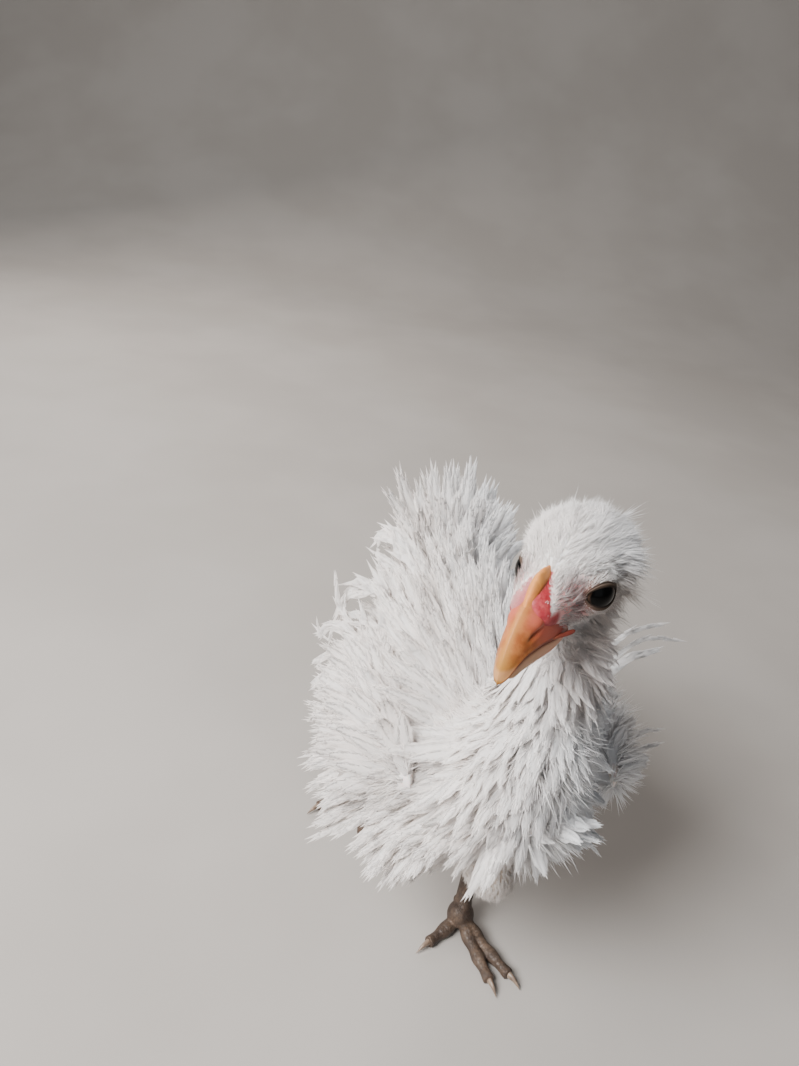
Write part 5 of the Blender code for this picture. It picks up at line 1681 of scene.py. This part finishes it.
def add_body_down(coat):
    """Down under the feathers, so that no bare skin shows between them."""
    p, n = coat.roots(~coat.on("head") & coat.body & ~coat.keel, 0.0019)
    lie = np.tile((0.0, 1.0, -0.5), (len(p), 1))
    high = clamp((p[:, 2] - 0.118) / 0.022)
    length = (0.0080 - 0.0056 * high) * np.clip((p[:, 2] - 0.045) / 0.035, 0.4, 1)
    length *= coat.draw.uniform(0.7, 1.1, len(p))
    cover = clamp((1.7 - keel_cover(p)) / 0.4) * (p[:, 1] < 0) * (p[:, 2] < 0.085)
    length = length * (1 - 0.55 * cover)
    rise = 50 - 25 * high - 20 * cover
    coat.tufts("body_down", TRUNK, p, n, lie, length, rise, 10, 34, 0.00034, look="down")


def add_keel_down(coat):
    """Short, close down that hangs on the keel's lobe."""
    draw = coat.draw
    p, n = coat.roots(coat.lobe, 0.0011)
    lie = np.stack([0.3 * draw.normal(0, 1, len(p)), np.zeros(len(p)), -np.ones(len(p))], 1)
    length = 0.0026 * draw.uniform(0.7, 1.2, len(p))
    rise = 12 + draw.normal(0, 5, len(p))
    coat.tufts("keel_down", TRUNK, p, n, lie, length, rise, 14, 14, 0.00013, look="down")


def bare_face(coat):
    """Which points of the skin bear no down: the red band by the comb, and beside the bill."""
    points = coat.skin[0]
    f, l, u = to_head(points).T
    band = clamp((f - 0.0078) / 0.0020) * (0.42 * f - 0.0022)
    band = band * np.where(l > 0, 1, 0.6) - 0.0009 + 0.0009 * drift(points, 0.0035, coat.draw)
    by_bill = (f > 0.0168) | ((f > 0.0138) & (u < 0.0015)) | ((f > 0.0125) & (u < -0.0065))
    return (np.abs(l) < band) | by_bill


def add_head_feathers(coat, clad):
    """Small feathers of the head, close to the skin."""
    draw = coat.draw
    p, n = coat.roots(clad, 0.00105)
    length = head_lengths(p, 0.0024, 0.0014) * draw.uniform(0.75, 1.15, len(p))
    rise = 5 + 3 * drift(p, 0.006, draw) + draw.normal(0, 2, len(p))
    curl = rise + 8 + draw.normal(0, 5, len(p))
    width = length * 0.40 * draw.uniform(0.85, 1.15, len(p))
    lie = head_lie(p, 0.16, draw)
    sites = (p - n * 0.0003, lie, n, length, width, rise, curl, draw.normal(0, 12, len(p)))
    coat.feathers("feathers_head", sites, 4, 7, 0.8, chart_of(SKULL, p), "head_down")


def add_head_down(coat, clad):
    """Fine down over the head's small feathers."""
    draw = coat.draw
    p, n = coat.roots(clad, 0.00095)
    length = head_lengths(p, 0.0024, 0.0024) * draw.uniform(0.7, 1.3, len(p))
    rise = 14 + 7 * drift(p, 0.005, draw) + draw.normal(0, 5, len(p))
    coat.tufts("head_down", SKULL, p, n, head_lie(p, 0.16, draw), length, rise, 20, 12, 0.00012, 0.0002)


def add_throat_down(coat, bare):
    """Soft down over the throat and the upper neck."""
    draw = coat.draw
    points = coat.skin[0]
    under = coat.on("head") & (to_head(points)[:, 2] < -0.0040) & ~bare
    p, n = coat.roots(coat.on("neck") & (points[:, 2] > 0.132) | under, 0.00110)
    lie = -path_direction(NECK.rows, NECK.nearest(p)[1])
    length = (0.0030 + 0.0030 * clamp((0.155 - p[:, 2]) / 0.02)) * draw.uniform(0.7, 1.2, len(p))
    rise = 12 + draw.normal(0, 5, len(p))
    coat.tufts("throat_down", NECK, p, n, lie, length, rise, 16, 13, 0.00013)


def add_cheek_tufts(coat):
    """Looser tufts that fill the cheek behind the eye and the nape, longer behind on the left."""
    draw = coat.draw
    points = coat.skin[0]
    f, _, u = to_head(points).T
    cheek = (from_lids(points) > 0.0058) & (f < 0.002) & (u < 0.007) & (points[:, 2] > 0.135)
    p, n = coat.roots(cheek & coat.on("head", "neck"), 0.00150)
    lie = head_lie(p, 0.30, draw) - 0.9 * HEAD[2]
    behind = clamp(-to_head(p)[:, 0] / 0.006) * clamp(to_head(p)[:, 1] / 0.005)
    length = (0.0052 + 0.0022 * behind) * draw.uniform(0.5, 1.2, len(p))
    length *= np.clip((from_lids(p) - 0.0040) / 0.0060, 0.5, 1)
    rise = 26 + 16 * behind + 8 * drift(p, 0.010, draw) + draw.normal(0, 7, len(p))
    coat.tufts("cheek_tufts", SKULL, p, n, lie, length, rise, 18, 15, 0.00013, 0.0004)


def add_lid_down(coat):
    """Fine hairs on the lids."""
    draw = coat.draw
    places = [lid_places(side, 420, draw) for side in (1, -1)]
    p, n = (np.vstack([place[k] for place in places]) for k in range(2))
    length = 0.0017 * draw.uniform(0.7, 1.3, len(p))
    rise = np.full(len(p), 14.0)
    coat.tufts("lid_down", SKULL, p, n, head_lie(p, 0.20, draw), length, rise, 3, 12, 0.00005)


def add_crown_tufts(coat, clad):
    """Small tufts that stand up on the crown."""
    draw = coat.draw
    f, _, u = to_head(coat.skin[0]).T
    p, n = coat.roots(clad & (u > 0.010) & (f < 0.004), 0.0042)
    length = 0.0036 * draw.uniform(0.6, 1.4, len(p))
    rise = 34 + draw.normal(0, 12, len(p))
    coat.tufts("crown_tufts", SKULL, p, n, head_lie(p, 0.5, draw), length, rise, 7, 9, 0.00011)


def add_face_bristles(coat, bare):
    """Fine dark bristles on the lore and round the lids."""
    points = coat.skin[0]
    f, l, u = to_head(points).T
    away = from_lids(points)
    beside = np.hypot((f - 0.0105) / 0.0055, (np.abs(l) - 0.0065) / 0.0045)
    lore = np.hypot(beside, (u + 0.0005) / 0.0075) < 1
    ring = (away > 0.0050) & (away < 0.0095)
    p, n = coat.roots(coat.on("head") & (ring | (lore & ~bare)), 0.00095)
    lie = head_lie(p, 0.15, coat.draw)
    length, rise = np.full(len(p), 0.0021), np.full(len(p), 22.0)
    coat.tufts("face_bristles", SKULL, p, n, lie, length, rise, 2, 14, 0.00007, look="bristle")


def clothe(skin, looks, draw):
    """All feathers and down. The parts share one row of random draws, so their order counts."""
    coat = Coat(skin, looks, draw)
    dress_regions(coat)
    dress_trunk(coat)
    add_long_feathers(coat)
    add_body_down(coat)
    add_keel_down(coat)
    bare = bare_face(coat)
    clad = coat.on("head") & (from_lids(skin[0]) > 0.0055) & ~bare
    add_head_feathers(coat, clad)
    add_head_down(coat, clad)
    add_throat_down(coat, bare)
    add_cheek_tufts(coat)
    add_lid_down(coat)
    add_crown_tufts(coat, clad)
    add_face_bristles(coat, bare)


def from_lids(points):
    """Distance of points from the axis of the nearer eye, or 1 behind both."""
    places = [from_eye(points, side) for side in (1, -1)]
    return np.min([np.where(high > 0, away, 1.0) for away, high in places], 0)


def head_lengths(p, near, more):
    """Length of the head's down: it grows towards the nape, and is short round the lids."""
    f = to_head(p)[:, 0]
    far = clamp((0.0140 - f) / 0.030)
    by_lids = np.clip((from_lids(p) - 0.0020) / 0.0060, 0.42, 1)
    return (near + more * far) * by_lids * np.clip((0.022 - f) / 0.012, 0.45, 1)


def head_lie(p, loose, draw):
    """The head's down lies back from the bill, and parts on the brow from the comb upwards."""
    f, l, u = to_head(p).T
    part = clamp(1 - np.abs(l - 0.0016) / 0.0050) * clamp((u - 0.006) / 0.003) * (f > -0.006)
    aside = 0.10 * np.sign(l) + 0.55 * part * np.sign(l - 0.0016)
    lie = np.stack([-np.ones(len(p)), aside, -0.35 * np.clip(-f / 0.02, -0.3, 1)], 1)
    lie[:, 1] += 0.25 * drift(p, 0.008, draw)
    lie = unit(lie + draw.normal(0, loose, lie.shape)) @ HEAD
    for side in (1, -1):
        axes, centre = eye_frame(side)
        away, high = from_eye(p, side)
        outward = unit((p - centre) - axes[2] * high[:, None])
        share = 0.9 * clamp((0.0115 - away) / 0.0055) * (high > 0)
        lie = lie - outward * ((lie * outward).sum(1) * share)[:, None]
    return lie


# Studio

# The camera was worked out from the photo: its height, the way it faces, the point under it as
# seen from the body's origin, and its right, down and forward axes as columns before that turn.
CAMERA_HEIGHT = 0.275
CAMERA_YAW = math.radians(-12)
CAMERA_FOOT = np.array((0.037, 0.210, 0.0))
CAMERA_AXES = np.array((
    (0.98995624, 0.14137412, 0.0),
    (0.0691484, -0.48420382, 0.87221853),
    (0.12330913, -0.86345817, -0.48911639),
))
FOCAL_PIXELS = 831.0
PHOTO_HEIGHT = 1066.0
SENSOR = 36.0
# The backdrop's section: how far it runs ahead of the bird, where it begins to curve up and with
# what radius, the height of its edge, and half its width.
FLOOR_FRONT = -1.5
COVE_START = 0.8
COVE_RADIUS = 0.7
COVE_TOP = 2.6
COVE_HALF_WIDTH = 2.5
# Lights: place, power, size and colour. All aim at the bird's middle.
MIDDLE = np.array((0.0, 0.0, 0.10))
LIGHTS = {
    "key": ((-0.64, -0.29, 0.73), 25.0, 0.50, (1.0, 0.985, 0.97)),
    "front": ((0.15, -0.90, 0.45), 0.7, 0.70, (0.86, 0.93, 1.0)),
    "back": ((-0.30, 0.75, 0.60), 6.0, 0.50, (1.0, 0.93, 0.88)),
}
SKY = (0.64, 0.64, 0.66, 1.0)
SKY_STRENGTH = 0.17


def stand(name, data, right, up, back, place):
    """Puts a camera or a light into the scene, with its own axes and place."""
    made = bpy.data.objects.new(name, data)
    bpy.context.scene.collection.objects.link(made)
    matrix = np.eye(4)
    matrix[:3] = np.column_stack([right, up, back, place])
    made.matrix_world = Matrix(matrix.tolist())
    return made


def add_camera():
    """The photo's camera, turned about the bird into the frame's axes."""
    s, c = math.sin(CAMERA_YAW), math.cos(CAMERA_YAW)
    turn = np.array([[c, -s, 0], [s, c, 0], [0, 0, 1]])
    right, below, ahead = (turn @ CAMERA_AXES).T
    place = turn @ (UP * CAMERA_HEIGHT - CAMERA_FOOT) + SHIFT
    data = bpy.data.cameras.new("photo_camera")
    data.sensor_width = SENSOR
    data.lens = FOCAL_PIXELS / PHOTO_HEIGHT * SENSOR
    data.clip_start = 0.01
    bpy.context.scene.camera = stand("photo_camera", data, right, -below, -ahead, place)


def add_light(name, place, power, size, colour):
    """A soft square light that faces the bird's middle."""
    data = bpy.data.lights.new(name, "AREA")
    data.energy = power
    data.size = size
    data.color = colour
    back = unit(np.asarray(place) - MIDDLE)
    side = unit(np.cross(UP, back))
    stand(name, data, side, np.cross(back, side), back, place)


def add_studio():
    """A plain pale floor that curves up to a wall far behind, soft lights and a pale sky.

    The sheet's section is level, then a quarter circle, then upright, and is swept across.
    """
    turn = np.linspace(0, math.pi / 2, 25)
    wall = COVE_START + COVE_RADIUS
    behind = np.concatenate([[FLOOR_FRONT], COVE_START + COVE_RADIUS * np.sin(turn), [wall]])
    high = np.concatenate([[0.0], COVE_RADIUS * (1 - np.cos(turn)), [COVE_TOP]])
    ahead = np.array((math.sin(-CAMERA_YAW), math.cos(-CAMERA_YAW), 0.0))
    side = np.cross(ahead, UP) * COVE_HALF_WIDTH
    line = behind[:, None] * ahead + high[:, None] * UP
    count = len(line)
    k = np.arange(count - 1)
    points = np.vstack([line - side, line + side]) - SHIFT
    mesh = mesh_of("floor", points, np.stack([k, k + count, k + count + 1, k + 1], 1))
    mesh.polygons.foreach_set("use_smooth", np.ones(count - 1, bool))
    floor = bpy.data.objects.new("floor", mesh)
    bpy.context.scene.collection.objects.link(floor)
    look = plain_material("floor", rgb(0.36, 0.335, 0.31), rgb(0.40, 0.375, 0.35), 6.0, 0.8, 60.0, 0.05)
    mesh.materials.append(look)
    for name, light in LIGHTS.items():
        add_light(name, *light)
    world = bpy.data.worlds.new("studio")
    world.use_nodes = True
    sky = world.node_tree.nodes["Background"].inputs
    sky[0].default_value = SKY
    sky[1].default_value = SKY_STRENGTH
    bpy.context.scene.world = world


def all_looks():
    """Every material of the bird, by its short name."""
    places = head_places_group()
    markings = markings_group(places, near_group())
    barbs = barbs_group()
    return {
        "plumage": plumage_material("plumage", markings, barbs, 1.3, rgb(0.82, 0.79, 0.78), 0.70),
        "down": plumage_material("under_down", markings, barbs, 1.0, rgb(0.84, 0.81, 0.79), 0.9),
        "head_down": plumage_material("head_down", markings, barbs, 1.0, rgb(0.80, 0.76, 0.72), 0.85),
        "bristle": plain_material(
            "bristle", rgb(0.10, 0.08, 0.07), rgb(0.30, 0.26, 0.23), 300.0, 0.6, 900.0, 0.2
        ),
        "skin": skin_material(markings),
        "bill": bill_material(places),
        "comb": plain_material(
            "comb_flesh", rgb(0.63, 0.26, 0.065), rgb(0.60, 0.19, 0.050), 180.0, 0.55, 1100.0, 0.4,
            specular_ior_level=0.25,
        ),
        "gape": plain_material(
            "gape_flesh", rgb(0.36, 0.11, 0.060), rgb(0.30, 0.060, 0.045), 300.0, 0.6, 1100.0, 0.4,
            specular_ior_level=0.2,
        ),
        "eye": eye_material(),
        "lid": lid_material(markings),
        "leg": scale_material(),
        "claw": plain_material(
            "claw_horn", rgb(0.16, 0.11, 0.08), rgb(0.30, 0.22, 0.16), 500.0, 0.35, 900.0, 0.3
        ),
    }


def build():
    """The whole scene: flesh, head, legs, plumage, camera and studio."""
    draw = np.random.default_rng(SEED)
    looks = all_looks()
    skin = body_skin(looks["skin"])
    for side in (1, -1):
        add_eye(side, looks["eye"])
        add_lids(side, looks["lid"])
    upper_bill(looks["bill"])
    lower_bill(looks["bill"])
    gape_folds(looks["gape"])
    comb_ridge(looks["comb"])
    add_leg("left", LEFT_HOCK, LEFT_BALL, LEFT_TOES, looks["leg"], looks["claw"])
    add_leg("right", RIGHT_HOCK, RIGHT_BALL, RIGHT_TOES, looks["leg"], looks["claw"])
    clothe(skin, looks, draw)
    add_camera()
    add_studio()


build()
